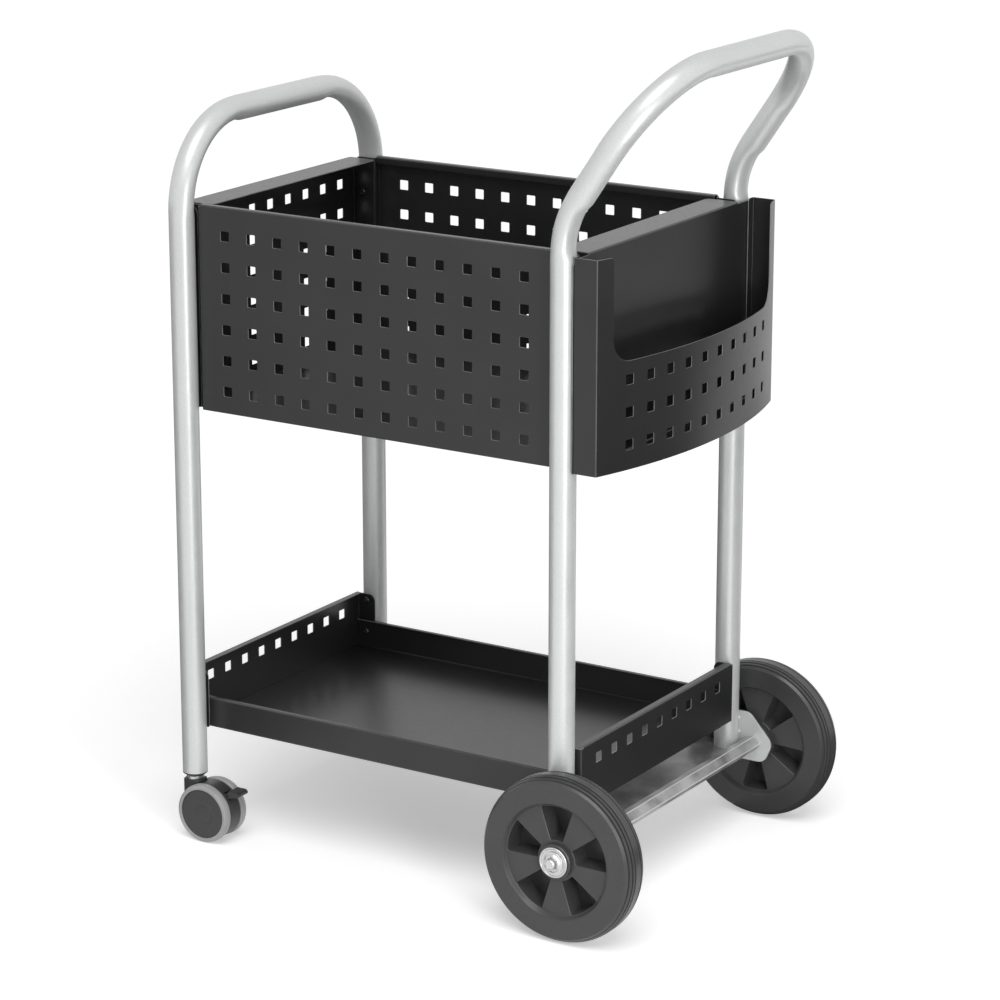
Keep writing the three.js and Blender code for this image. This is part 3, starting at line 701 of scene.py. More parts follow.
# Turned pieces
def softened(profile, closed):
    """A profile of (radius, along, soft) corners as points with normals, its corners rounded."""
    result = []
    count = len(profile)
    for k, (radius, along, soft) in enumerate(profile):
        here = Vector((radius, along))
        sides = []
        if closed or k > 0:
            sides.append(here - Vector(profile[k - 1][:2]))
        if closed or k < count - 1:
            sides.append(Vector(profile[(k + 1) % count][:2]) - here)
        into = sides[0].normalized()
        out_of = sides[-1].normalized()
        turn = abs(bend_angle(into, out_of))
        reach = min(soft * tan(turn / 2), *(SOFT_SHARE * side.length for side in sides))
        arc = [(here, (into + out_of).normalized())]
        if turn >= FLAT_TURN and reach >= NEAR:
            arc = corner_arc(here, into, out_of, reach / tan(turn / 2), SOFT_TURN)
        result += [(point, Vector((heading.y, -heading.x))) for point, heading in arc]
    return result


def turned(draft, profile, centre, axis, sides, closed=True, shape=None, soft=SOFT_TURNING):
    """A turned body about an axis; its profile has the material on the left."""
    first = AXIS_X if axis == AXIS_Z else AXIS_Z
    second = axis.cross(first)
    rings = []
    for point, normal in softened([(*corner, soft)[:3] for corner in profile], closed):
        on_axis = point.x < NEAR
        ring = []
        for k in range(1 if on_axis else sides):
            angle = 2 * pi * k / sides
            radius, along = shape(angle, point.x, point.y) if shape else point
            outward = first * cos(angle) + second * sin(angle)
            spot = Vector(centre) + axis * along + outward * radius
            if shape and not on_axis:
                tangent = second * cos(angle) - first * sin(angle)
                ahead, behind = (shape(angle + turn, *point)[0] for turn in (NUDGE, -NUDGE))
                outward = (outward - tangent * (ahead - behind) / (2 * NUDGE * radius)).normalized()
            facing = axis * copysign(1, normal.y) if on_axis else outward * normal.x + axis * normal.y
            ring.append(draft.add(spot, facing))
        rings.append(ring)
    for lower, upper in zip(rings, rings[1:] + rings[:1] if closed else rings[1:]):
        draft.join(lower, upper)


# Bent tubes
def tube_stations(corners):
    """Points along a bent tube with their direction, the inside of the bend and its squeeze."""
    points = [Vector(corner) for corner in corners]
    stations = [(points[0], (points[1] - points[0]).normalized(), AXIS_X, 0.0)]
    half_ramp = SQUEEZE_RAMP / 2
    for before, corner, after in zip(points, points[1:], points[2:]):
        into = (corner - before).normalized()
        out_of = (after - corner).normalized()
        turn = into.angle(out_of)
        inward = (out_of - into * into.dot(out_of)).normalized()
        start = corner - into * BEND_R * tan(turn / 2)
        length = BEND_R * turn
        places = spread(-half_ramp, 0, SQUEEZE_STEPS)[:-1]
        places += spread(0, length, round(length / BEND_STEP))
        places += spread(length, length + half_ramp, SQUEEZE_STEPS)[1:]
        for along in places:
            in_bend = min(max(along, 0), length)
            angle = in_bend / BEND_R
            direction = into * cos(angle) + inward * sin(angle)
            inside = inward * cos(angle) - into * sin(angle)
            point = start + into * BEND_R * sin(angle) + inward * BEND_R * (1 - cos(angle))
            squeeze = smooth_step((min(along, length - along) + half_ramp) / SQUEEZE_RAMP)
            stations.append((point + direction * (along - in_bend), direction, inside, squeeze))
    stations.append((points[-1], (points[-1] - points[-2]).normalized(), AXIS_X, 0.0))
    return stations


def tube_ring(draft, station, first, radius, facing):
    point, direction, inside, squeeze = station
    second = direction.cross(first)
    ring = []
    for k in range(TUBE_SIDES):
        angle = 2 * pi * k / TUBE_SIDES
        outward = first * cos(angle) + second * sin(angle)
        depth = outward.dot(inside)
        sideways = outward - inside * depth
        thin = 1 - (SQUEEZE_INSIDE if depth > 0 else SQUEEZE_OUTSIDE) * squeeze
        wide = 1 + SQUEEZE_SIDEWAYS * squeeze
        offset = (inside * depth * thin + sideways * wide) * radius
        normal = (inside * depth / thin + sideways / wide) * facing
        ring.append(draft.add(point + offset, normal))
    return ring


def bent_tube(draft, corners):
    """A hollow bent tube that is pulled flat on the inside of its bends."""
    stations = tube_stations(corners)
    first = AXIS_X
    outer = []
    inner = []
    for station in stations:
        direction = station[1]
        first = (first - direction * first.dot(direction)).normalized()
        outer.append(tube_ring(draft, station, first, TUBE_R, 1))
        inner.append(tube_ring(draft, station, first, TUBE_R - TUBE_WALL, -1))
    for rings, flipped in ((outer, False), (inner, True)):
        for lower, upper in zip(rings, rings[1:]):
            draft.join(lower, upper, flipped)
    for end, sign in ((0, -1), (-1, 1)):
        normal = stations[end][1] * sign
        rim, bore = ([draft.add(draft.points[k], normal) for k in rings[end]] for rings in (outer, inner))
        draft.join(rim, bore, flipped=sign < 0)


# Materials
class Nodes:
    """The node tree of a material or of the world."""

    def __init__(self, owner):
        owner.use_nodes = True
        self.tree = owner.node_tree

    def feed(self, node, inputs):
        """Sets inputs of a node to values, or links them to outputs."""
        for key, value in inputs.items():
            if isinstance(value, bpy.types.NodeSocket):
                self.tree.links.new(value, node.inputs[key])
            else:
                node.inputs[key].default_value = value

    def node(self, kind, inputs, **settings):
        """A new shader node with its inputs and settings."""
        node = self.tree.nodes.new(f"ShaderNode{kind}")
        for name, value in settings.items():
            setattr(node, name, value)
        self.feed(node, inputs)
        return node

    def mix_by_ray(self, plain, seen, output):
        """One shader for rays from the camera or a reflection or glass, and a plain one for others."""
        path = self.node("LightPath", {})
        either = path.outputs["Is Camera Ray"]
        for name in ("Is Glossy Ray", "Is Transmission Ray"):
            either = self.node("Math", {0: either, 1: path.outputs[name]}, operation="MAXIMUM").outputs[0]
        mix = self.node("MixShader", {"Fac": either, 1: plain.outputs[0], 2: seen.outputs[0]})
        self.feed(self.tree.nodes[output], {"Surface": mix.outputs[0]})


class Look(Nodes):
    """A procedural material: one shader, and the nodes that vary it over the surface."""

    def __init__(self, name, roughness, metallic=0.0, specular=0.5):
        self.material = bpy.data.materials.new(name)
        super().__init__(self.material)
        self.shader = self.tree.nodes["Principled BSDF"]
        settings = {"Roughness": roughness, "Metallic": metallic, "Specular IOR Level": specular}
        self.feed(self.shader, settings)
        self.coordinates = self.node("TexCoord", {}).outputs["Object"]

    def noise(self, scale, detail=3.0):
        """Soft noise with about so many features a metre."""
        inputs = {"Scale": scale, "Detail": detail, "Vector": self.coordinates}
        return self.node("TexNoise", inputs).outputs["Fac"]

    def cells(self, scale):
        """Random flat cells, about so many a metre."""
        return self.node("TexVoronoi", {"Scale": scale, "Vector": self.coordinates}).outputs["Color"]

    # The per-point value for worn cut edges and the painted highlights on edges and folds
    def wear_and_highlight(self):
        return self.node("Attribute", {}, attribute_name="edge_wear_and_highlight").outputs["Fac"]

    def ramp(self, factor, low, dark, high, light):
        """Greys or colours from dark at the low factor to light at the high one."""
        node = self.node("ValToRGB", {"Fac": factor})
        for element, position, colour in zip(node.color_ramp.elements, (low, high), (dark, light)):
            element.position = position
            red, green, blue = colour if isinstance(colour, tuple) else (colour,) * 3
            element.color = (red, green, blue, 1.0)
        return node.outputs["Color"]

    def clouds(self, scale, dark, light, low=0.3, high=0.7):
        return self.ramp(self.noise(scale), low, dark, high, light)

    def grain(self, scale, dark, light):
        return self.ramp(self.noise(scale, 2.0), 0.35, dark, 0.65, light)

    def mix(self, factor, first, second, blend="MIX"):
        node = self.node("Mix", {}, data_type="RGBA", blend_type=blend)
        keys = [key for key, item in enumerate(node.inputs) if item.enabled]
        self.feed(node, dict(zip(keys, (factor, first, second))))
        return [item for item in node.outputs if item.enabled][0]

    def times(self, first, second):
        return self.mix(1.0, first, second, "MULTIPLY")

    def bump(self, height, strength, distance):
        inputs = {"Strength": strength, "Distance": distance * MM, "Height": height}
        return self.node("Bump", inputs).outputs["Normal"]

    def finish(self, slot, colour, roughness, bump):
        """The material with its colour, roughness and bump in place, and its slot."""
        self.feed(self.shader, {"Base Color": colour, "Roughness": roughness, "Normal": bump})
        return self.material, slot


def silver_paint():
    """Satin powder coat with fine metal flakes."""
    look = Look("silver_paint", roughness=0.36, metallic=0.35, specular=0.3)
    flakes = look.ramp(look.cells(1400), 0.0, (0.64, 0.65, 0.65), 1.0, (0.74, 0.75, 0.75))
    colour = look.times(flakes, look.clouds(9, 0.95, 1.0))
    bump = look.bump(look.noise(900), strength=0.12, distance=0.05)
    return look.finish("frame_paint", colour, look.clouds(60, 0.32, 0.42), bump)


def black_paint():
    """Satin powder coat with a faint orange peel; its cut edges are lighter, partly worn and partly a
    painted highlight, and its sharp folds carry a fainter painted highlight.
    """
    look = Look("black_paint", roughness=0.3, specular=0.47)
    base = look.clouds(14, (0.019, 0.019, 0.02), (0.023, 0.023, 0.024))
    # Lighter grey along the cut edges for worn paint and a painted highlight, and fainter along the fold
    # crests as a painted highlight
    rubbed_and_highlight = look.clouds(45, 0.2, 0.34, low=0.35)
    colour = look.mix(look.wear_and_highlight(), look.times(base, look.grain(1100, 0.86, 1.0)), rubbed_and_highlight)
    bump = look.bump(look.noise(650, 2.0), strength=0.18, distance=0.06)
    return look.finish("panel_paint", colour, look.clouds(240, 0.28, 0.33), bump)


def zinc_plate(name, dark, light, metallic, roughness, uneven):
    """Zinc plate with a soft cloudy bloom, and a painted highlight along its folds and edges."""
    look = Look(name, roughness=roughness, metallic=metallic)
    bloom = look.clouds(26, dark, light, low=0.36, high=0.64)
    spangle = look.ramp(look.cells(900), 0.0, 0.92, 1.0, 1.0)
    # Painted highlight: near white along the fold crests and cut edges
    painted_highlight = look.ramp(look.wear_and_highlight(), 0.0, 0.0, FOLD_HIGHLIGHT, 0.9)
    colour = look.mix(1.0, look.times(bloom, spangle), painted_highlight, "LIGHTEN")
    bump = look.bump(look.noise(420), strength=uneven, distance=0.05)
    return look.finish("plated_steel", colour, look.clouds(52, roughness - 0.06, roughness + 0.08), bump)


def tyre_rubber():
    """Dull dark rubber with a dusty bloom."""
    look = Look("tyre_rubber", roughness=0.34, specular=0.5)
    base = look.grain(700, (0.045, 0.045, 0.046), (0.056, 0.056, 0.057))
    colour = look.times(base, look.clouds(26, 0.88, 1.0, high=0.75))
    bump = look.bump(look.noise(1300, 2.0), strength=0.25, distance=0.05)
    return look.finish("tyre_rubber", colour, look.clouds(40, 0.29, 0.4), bump)


def moulded_plastic(name, slot, dark, light, roughness, specular=0.4):
    """Moulded plastic with a fine grain and faint flow marks."""
    look = Look(name, roughness=roughness, specular=specular)
    colour = look.times(look.clouds(30, dark, light), look.grain(1500, 0.9, 1.0))
    bump = look.bump(look.noise(1700, 2.0), strength=0.2, distance=0.04)
    return look.finish(slot, colour, look.clouds(55, roughness - 0.05, roughness + 0.06), bump)


SILVER = silver_paint()
BLACK = black_paint()
ZINC = zinc_plate("dull_zinc", 0.2, 0.46, metallic=0.2, roughness=0.34, uneven=0.1)
BRIGHT_ZINC = zinc_plate("bright_zinc", 0.6, 0.7, metallic=0.85, roughness=0.3, uneven=0.03)
RUBBER = tyre_rubber()
HUB_PLASTIC = moulded_plastic("hub_plastic", "hub_plastic", 0.054, 0.062, roughness=0.36)
TREAD_GREY = moulded_plastic("tread_grey", "caster_tread", 0.36, 0.42, roughness=0.36, specular=0.5)
DISC_GREY = moulded_plastic("disc_grey", "caster_disc", 0.045, 0.052, roughness=0.45)
BLACK_PLASTIC = moulded_plastic("black_plastic", "caster_plastic", 0.04, 0.05, roughness=0.4)


# Single pieces
def sheet_piece(name, node, surface, loops, finish=BLACK, thickness=SHEET, soft=SOFT_EDGE):
    """A sheet of the cart in place of one node."""
    draft = Draft()
    plate(draft, loops, surface, thickness, soft)
    draft.build(name, finish, "cart", node)


def turned_piece(name, node, finish, body, profile, centre, axis, sides, **options):
    """A turned piece of one body in place of one node."""
    draft = Draft()
    turned(draft, profile, centre, axis, sides, **options)
    draft.build(name, finish, body, node)


# Tube frames
def tube_frames():
    front = [(0, FRONT_FOOT_Z), (0, FRONT_BAR_Z)]
    rear = [(SPAN_X, REAR_FOOT_Z), (SPAN_X, KNEE_Z), (HANDLE_X, HANDLE_Z)]
    for label, half in (("front", front), ("rear", rear)):
        left = [(x, -UPRIGHT_Y, z) for x, z in half]
        right = [(x, UPRIGHT_Y, z) for x, z in reversed(half)]
        draft = Draft()
        bent_tube(draft, left + right)
        draft.build(f"{label}_tube", SILVER, "cart", f"{label}_frame")


# Basket
def side_panel(label, side):
    """A perforated panel with joggled end tabs and a hooked rail along its top."""
    far_x = SPAN_X - PANEL_CLEAR_X
    plan = folded([
        (-SPAN_X - TAB_REACH, -FLANGE_OUT_Y), (-far_x, -FLANGE_OUT_Y), (-far_x, -PANEL_Y),
        (-PANEL_CLEAR_X, -PANEL_Y), (-PANEL_CLEAR_X, -FRONT_TAB_Y), (TAB_REACH, -FRONT_TAB_Y),
    ], main=2)
    rail = folded([
        (BASKET_LOW, 0), (BASKET_HIGH, 0), (BASKET_HIGH, RAIL_WIDE), (BASKET_HIGH - RAIL_DROP, RAIL_WIDE),
    ], main=0)
    surface = Surface((0, 0, 0), -AXIS_X, AXIS_Z, AXIS_Y * -side, plan, rail)
    tab_top = BASKET_HIGH - FOLD_R - FOLD_CLEAR
    rail_near = -PANEL_CLEAR_X - 2 * SHEET
    rail_far = -far_x + 2 * SHEET
    outline = rounded_loop([
        (plan.low, BASKET_LOW, TAB_CORNER), (plan.high, BASKET_LOW, TAB_CORNER),
        (plan.high, tab_top, TAB_CORNER), (rail_near, tab_top, 0),
        (rail_near, rail.high, MEDIUM_CORNER), (rail_far, rail.high, MEDIUM_CORNER),
        (rail_far, tab_top, 0), (plan.low, tab_top, TAB_CORNER),
    ])
    holes = hole_grid(SIDE_COLUMNS, PITCH, HOLE_ROWS, TOP_ROW_Z, -SPAN_X / 2)
    sheet_piece(f"side_sheet_{label}", f"side_panel_{label}", surface, [outline] + holes)


def end_sheet(name, plate_x, inward, sizes, holes, flanged=True):
    """A plate across the cart: its lip is folded inwards at the top, and its sides where flanged."""
    low, high, lip_wide, lip_half = sizes
    plan = None
    half = POCKET_HALF
    if flanged:
        plan = even_fold([(FLANGE_OUT_Y, 0), (FLANGE_OUT_Y, FLANGE_LONG)], main=1)
        half = plan.high
    lip = folded([(low, 0), (high, 0), (high, lip_wide)], main=0)
    surface = Surface((plate_x, 0, 0), AXIS_Y, AXIS_Z, AXIS_X * inward, plan, lip)
    shoulder = high - FOLD_R - FOLD_CLEAR
    outline = rounded_loop(mirrored([
        (half, low, MEDIUM_CORNER), (half, shoulder, FLANGE_CORNER),
        (lip_half, shoulder, 0), (lip_half, lip.high, min(LIP_CORNER, lip_wide / 2)),
    ]))
    sheet_piece(f"{name}_sheet", f"{name}_panel", surface, [outline] + holes)


def basket_ends():
    sizes = (BASKET_LOW, LIP_Z, LIP_WIDE, LIP_HALF)
    for label, plate_x, inward in FRONT_REAR:
        perforated = label == "front"
        holes = hole_grid(END_COLUMNS, PITCH, HOLE_ROWS, TOP_ROW_Z) if perforated else []
        end_sheet(f"{label}_end", plate_x, inward, sizes, holes, flanged=perforated)


def basket_floor():
    """A plate between the panels with low flanges along its sides."""
    section = even_fold([(BOTTOM_HALF, 0), (BOTTOM_HALF, BOTTOM_FLANGE)], main=1)
    surface = Surface((0, 0, BASKET_LOW), AXIS_Y, AXIS_X, AXIS_Z, section)
    front_x, rear_x = BOTTOM_ENDS_X
    side_front, side_rear = BOTTOM_FLANGE_X
    outline = rounded_loop(mirrored([
        (BOTTOM_END_HALF, front_x, SMALL_CORNER), (BOTTOM_END_HALF, side_front, 0),
        (section.high, side_front, MEDIUM_CORNER), (section.high, side_rear, MEDIUM_CORNER),
        (BOTTOM_END_HALF, side_rear, 0), (BOTTOM_END_HALF, rear_x, SMALL_CORNER),
    ]))
    sheet_piece("basket_bottom", "basket_floor", surface, [outline])


# Rear pocket
def pocket_fold():
    """The plan of the pocket: back flanges, side walls and a bowed front."""
    corner_turn = pi / 2 - BOW_ANGLE
    corner_back = FOLD_R * tan(corner_turn / 2)
    flange = (POCKET_FLANGE - FOLD_R, 0.0)
    square = (FOLD_R * pi / 2, pi / 2)
    side = (POCKET_SIDE_X - POCKET_BACK_X - FOLD_R - corner_back, 0.0)
    corner = (FOLD_R * corner_turn, corner_turn)
    bow_turn = 2 * (BOW_ANGLE - corner_back / BOW_R)
    bow = [(BOW_R * bow_turn / BOW_STEPS, bow_turn / BOW_STEPS)] * BOW_STEPS
    half = [flange, square, side, corner]
    steps = half + bow + half[::-1]
    start = (POCKET_FLANGE - POCKET_HALF, -POCKET_BACK_X)
    return Fold(start, pi, steps, sum(length for length, _ in steps) / 2)


def rear_pocket():
    plan = pocket_fold()
    cut = BOW_R * asin(CUTOUT_HALF / BOW_R)
    outline = rounded_loop(mirrored([
        (plan.high, POCKET_LOW, SMALL_CORNER), (plan.high, POCKET_HIGH, LARGE_CORNER),
        (cut, POCKET_HIGH, LARGE_CORNER), (cut, CUTOUT_LOW, CUTOUT_CORNER),
    ]), FINE_TURN)
    holes = hole_grid(POCKET_COLUMNS, POCKET_PITCH, POCKET_ROWS, POCKET_TOP_ROW_Z)
    draft = Draft()
    plate(draft, [outline] + holes, Surface((0, 0, 0), AXIS_Y, AXIS_Z, -AXIS_X, plan))
    inset = SHEET + FOLD_CLEAR
    inner_r = BOW_R - inset
    inner_half = POCKET_HALF - inset
    reach = asin(inner_half / inner_r)
    bow_centre_x = POCKET_SIDE_X + POCKET_BOW - BOW_R
    bow = [(y, x) for x, y in arc_points((bow_centre_x, 0), inner_r, -reach, reach, BOW_STEPS)]
    back_x = POCKET_BACK_X + inset
    base = [(inner_half, back_x), (-inner_half, back_x)] + bow
    plate(draft, [base], Surface((0, 0, POCKET_LOW), AXIS_Y, AXIS_X, AXIS_Z))
    draft.build("pocket_sheet", BLACK, "cart", "rear_pocket")


# Shelf
def shelf():
    right = [(TRAY_HALF, TRAY_LOW), (TRAY_HALF, TRAY_HIGH), (TRAY_HALF - TRAY_HEM, TRAY_HIGH)]
    section = even_fold(right, main=2)
    surface = Surface((0, 0, 0), AXIS_Y, AXIS_X, AXIS_Z, section)
    outline = rounded_loop(mirrored([(section.high, x, SMALL_CORNER) for x in TRAY_ENDS_X]))
    sheet_piece("tray_sheet", "shelf_tray", surface, [outline])
    sizes = (SHELF_PANEL_LOW, SHELF_PANEL_HIGH, SHELF_LIP, SHELF_LIP_HALF)
    for label, plate_x, inward in FRONT_REAR:
        holes = hole_grid(END_COLUMNS, SHELF_PITCH, 1, SHELF_ROW_Z)
        end_sheet(f"shelf_{label}", plate_x, inward, sizes, holes)


# Screws
def cross_slot(angle, radius, along):
    """The drive recess: the rings nearest the axis take the outline of a cross."""
    if radius > CROSS_R:
        return radius, along
    turn = abs((angle + pi / 4) % (pi / 2) - pi / 4)
    return min(radius / cos(turn), CROSS_ARM_SHARE * radius / max(sin(turn), NEAR)), along


def screw(draft, x, y, z, side):
    """A pan-head screw that is driven outwards into an upright, its seat at y."""
    profile = [
        (0, -SCREW_SHANK, 0), (SCREW_SHANK_R, -SCREW_SHANK, 0.4), (SCREW_SHANK_R, 0, 0),
        (SCREW_HEAD_R, 0, 0.2), (SCREW_HEAD_R, SCREW_SIDE_H, 1.0), (SCREW_TOP_R, SCREW_HEAD_H, 0.6),
        (CROSS_MOUTH_R, SCREW_HEAD_H, 0.1), (CROSS_FLOOR_R, CROSS_FLOOR_H, 0), (0, CROSS_FLOOR_H, 0),
    ]
    turned(draft, profile, (x, y, z), AXIS_Y * -side, PIN_SIDES, closed=False, shape=cross_slot)


def screws():
    number = 1
    flange_in = FLANGE_OUT_Y - SHEET
    for label, side in LEFT_RIGHT:
        for x in (-SCREW_X, SPAN_X + SCREW_X):
            for z in SCREW_HEIGHTS:
                seat = TRAY_HALF - SHEET if z < TRAY_HIGH else flange_in
                draft = Draft()
                screw(draft, x, side * seat, z, side)
                draft.build(f"shelf_bolt_{number}", BLACK, "cart", f"shelf_screw_{number}")
                number += 1
        basket = Draft()
        for x, seat in ((0, FRONT_TAB_Y - SHEET), (SPAN_X, flange_in)):
            for z in BASKET_SCREW_HEIGHTS:
                screw(basket, x, side * seat, z, side)
        basket.build(f"basket_bolts_{label}", BLACK, "cart")


# Rear axle
def axle_beam():
    folds = [(-SPAN_X - back, -BEAM_WEB_Z - up) for back, up in BEAM_FOLDS]
    section = folded(folds, main=4, radius=BEAM_FOLD_R)
    surface = Surface((0, 0, 0), -AXIS_X, AXIS_Y, -AXIS_Z, section)
    outline = rounded_loop([
        (section.low, -BEAM_HALF, SMALL_CORNER), (section.high, -BEAM_HALF, LARGE_CORNER),
        (section.high, BEAM_HALF, LARGE_CORNER), (section.low, BEAM_HALF, SMALL_CORNER),
    ])
    sheet_piece("beam_sheet", "axle_beam", surface, [outline], ZINC, BEAM_SHEET)


def wheel_bracket(label, side):
    corners = [(SPAN_X + back, z, radius) for back, z, radius in BRACKET_CORNERS]
    loops = [rounded_loop(corners, FINE_TURN), round_loop(AXLE_X, AXLE_Z, AXLE_R + CLEAR, PIN_SIDES)]
    surface = Surface((0, side * BRACKET_OUT_Y, 0), AXIS_X, AXIS_Z, AXIS_Y * -side)
    name = f"bracket_plate_{label}"
    sheet_piece(name, f"wheel_bracket_{label}", surface, loops, SILVER, BRACKET_THICK, BRACKET_SOFT)


def weld_beads(label, side):
    """Weld spots where the bracket meets the upright."""
    inside_y = side * (BRACKET_OUT_Y - BRACKET_THICK)
    draft = Draft()
    for z in WELD_HEIGHTS:
        centre = (SPAN_X + WELD_BACK, inside_y, z)
        turned(draft, WELD_DOME, centre, AXIS_Y * -side, WELD_SIDES, closed=False)
    draft.build(f"weld_beads_{label}", SILVER, "cart")


def axle_bar():
    chamfer = [(AXLE_R, AXLE_END - AXLE_CHAMFER, 0.5), (AXLE_R - AXLE_CHAMFER, AXLE_END, 0.5)]
    half = chamfer + [(0, AXLE_END, 0)]
    profile = [(r, -y, soft) for r, y, soft in half[::-1]] + half
    turned_piece(
        "axle_bar", "axle_rod", BRIGHT_ZINC, "cart",
        profile, (AXLE_X, 0, AXLE_Z), AXIS_Y, ROD_SIDES, closed=False,
    )


# Rear wheels
def wheel_middle(side):
    return Vector((AXLE_X, side * WHEEL_MID_Y, AXLE_Z))


def crown(along):
    """The radius of the tread, which falls away towards its edges."""
    share = max(0.0, (abs(along) - TYRE_FLAT) / (WHEEL_HALF - TYRE_FLAT))
    return WHEEL_R - (WHEEL_R - TYRE_EDGE_R) * share ** CROWN_POWER


def tyre_profile():
    """Half a tyre from its seat on the hub over the flat side to the middle of the tread."""
    seat_r = HUB_R + TYRE_GAP
    half = [
        (seat_r, RIM_HALF - TYRE_LAP, 0.05), (seat_r, WHEEL_HALF, 0.05),
        (TYRE_EDGE_R - 0.6, WHEEL_HALF, 1.4),
    ]
    for middle in reversed(GROOVES):
        floor_r = crown(middle) - GROOVE_DEEP
        half.append((crown(middle + GROOVE_HALF), middle + GROOVE_HALF, 0.25))
        half.append((floor_r, middle + GROOVE_FLOOR_HALF, 0.2))
        half.append((floor_r, middle - GROOVE_FLOOR_HALF, 0.2))
        half.append((crown(middle - GROOVE_HALF), middle - GROOVE_HALF, 0.25))
    half.append((WHEEL_R, TYRE_FLAT - 2.5, 2.0))
    return half


def tyre(label, side):
    half = tyre_profile()
    profile = [(r, -y, soft) for r, y, soft in half] + half[::-1]
    turned_piece(
        f"tyre_{label}", f"wheel_tyre_{label}", RUBBER, f"rear_wheel_{label}",
        profile, wheel_middle(side), AXIS_Y * side, WHEEL_SIDES,
    )


def recess_loop(middle, half_angle):
    """A wedge between two spokes with round corners, as (across, up) from the wheel's centre."""
    outer = spread(middle - half_angle, middle + half_angle, round(half_angle / RECESS_STEP))
    inner = spread(middle + half_angle, middle - half_angle, 2)
    corners = []
    for angles, radius in ((outer, RECESS_OUT_R), (inner, RECESS_IN_R)):
        for angle in angles:
            soft = RECESS_CORNER if angle in (angles[0], angles[-1]) else 0
            corners.append((radius * sin(angle), radius * cos(angle), soft))
    return rounded_loop(corners, COARSE_TURN)


def pocketed_face(draft, rims, pockets, surface):
    """A flat face between two rims, cut by drafted pockets."""
    pockets = [turned_loop(loop, False) for loop in pockets]
    steps = [miters(loop) for loop in pockets]
    flat = rims + moved(pockets, steps, RECESS_EDGE)

    def ring_points(loop, deep):
        ring = []
        for u, v in loop:
            point, _, _, outward = surface.at(u, v)
            ring.append(draft.add(point - outward * deep, outward))
        return ring

    face = [ring_points(loop, 0.0) for loop in flat]
    corners = joined(face)
    for triangle in fill(flat):
        draft.face([corners[k] for k in triangle], surface.flipped)
    for mouth, loop, floor in zip(face[len(rims):], pockets, moved(pockets, steps, -RECESS_TAPER)):
        edge = ring_points(loop, RECESS_EDGE)
        deep = ring_points(floor, RECESS_DEEP)
        draft.join(edge, mouth, surface.flipped)
        draft.join(deep, edge, surface.flipped)
        for triangle in fill([floor]):
            draft.face([deep[k] for k in triangle], surface.flipped)


def hub(label, side):
    """A spoked hub: pockets open outwards, and between them pockets that open inwards."""
    axis = AXIS_Y * side
    centre = wheel_middle(side)
    step = 2 * pi / SPOKES
    rims = [round_loop(0, 0, radius, WHEEL_SIDES) for radius in (RIM_IN_R, BOSS_R)]
    strips = [[(HUB_R, -RIM_HALF), (HUB_R, RIM_HALF)], [(BUSH_R, BOSS_HALF), (BUSH_R, -BOSS_HALF)]]
    draft = Draft()
    for sign, start, half_angle in ((1, 0.0, OUTER_RECESS_HALF), (-1, step / 2, INNER_RECESS_HALF)):
        pockets = [recess_loop(start + k * step, half_angle) for k in range(SPOKES)]
        surface = Surface(centre + axis * sign * HUB_FACE, axis.cross(AXIS_Z), AXIS_Z, axis * -sign)
        pocketed_face(draft, rims, pockets, surface)
        boss = [
            (BOSS_R, sign * HUB_FACE), (BOSS_R, sign * (BOSS_HALF - BOSS_CHAMFER)),
            (BOSS_R - BOSS_CHAMFER, sign * BOSS_HALF), (BUSH_R, sign * BOSS_HALF),
        ]
        rim = [
            (HUB_R, sign * RIM_HALF), (RIM_OUT_R, sign * RIM_HALF, 1.8),
            (RIM_STEP_R, sign * RIM_STEP, 0.8), (RIM_IN_R, sign * HUB_FACE),
        ]
        strips += [strip[::sign] for strip in (boss, rim)]
    for strip in strips:
        turned(draft, strip, centre, axis, WHEEL_SIDES, closed=False, soft=0)
    draft.build(f"hub_disc_{label}", HUB_PLASTIC, f"rear_wheel_{label}", f"wheel_hub_{label}", welded=True)


def petals(angle, radius, along):
    """Slits that part the push nut's crown into sprung petals."""
    half = pi / PETALS
    turn = abs((angle + half) % (2 * half) - half)
    slit = turn < SLIT_HALF and AXLE_R + 1 < radius < SLIT_OUT_R
    return radius, along - (SLIT_DEEP if slit else 0.0)


def wheel_fixings(label, side):
    bore = AXLE_R + CLEAR
    seat = WASHER_SEAT
    washer = [
        (bore, seat), (WASHER_R, seat, 0.3), (WASHER_R, seat + 1.2, 0.5), (WASHER_R - 1.1, seat + 2.1, 0.8),
        (WASHER_R - 2.3, seat + 1.2, 0.4), (WASHER_R - 2.7, seat + 0.6, 0.2), (bore, seat + 0.6),
    ]
    seat = PUSH_NUT_SEAT
    nut = [
        (bore, seat), (PUSH_NUT_R, seat, 0.3), (PUSH_NUT_R, seat + 1.5, 0.6),
        (PUSH_NUT_R - 2.2, seat + 2.4, 1.2), (PUSH_NUT_R - 4, seat + 4.3, 0.9),
        (PUSH_NUT_R - 5.2, seat + 4.4, 0.5), (bore, seat + 3.7, 0.3),
    ]
    low, high = SPACER_ENDS
    spacer = [(bore, low), (SPACER_R, low, 0.6), (SPACER_R, high, 0.6), (bore, high)]
    fixings = (("washer", washer, None), ("push_nut", nut, petals), ("spacer", spacer, None))
    for kind, profile, shape in fixings:
        turned_piece(
            f"axle_{kind}_{label}", f"wheel_{kind}_{label}", BRIGHT_ZINC, "cart",
            profile, wheel_middle(side), AXIS_Y * side, DISC_SIDES, shape=shape,
        )


# Casters
def hood_arc(start, end, steps):
    return [(x, z, 0) for x, z in arc_points((HUB_X, CASTER_R), HOOD_R, start, end, steps)]


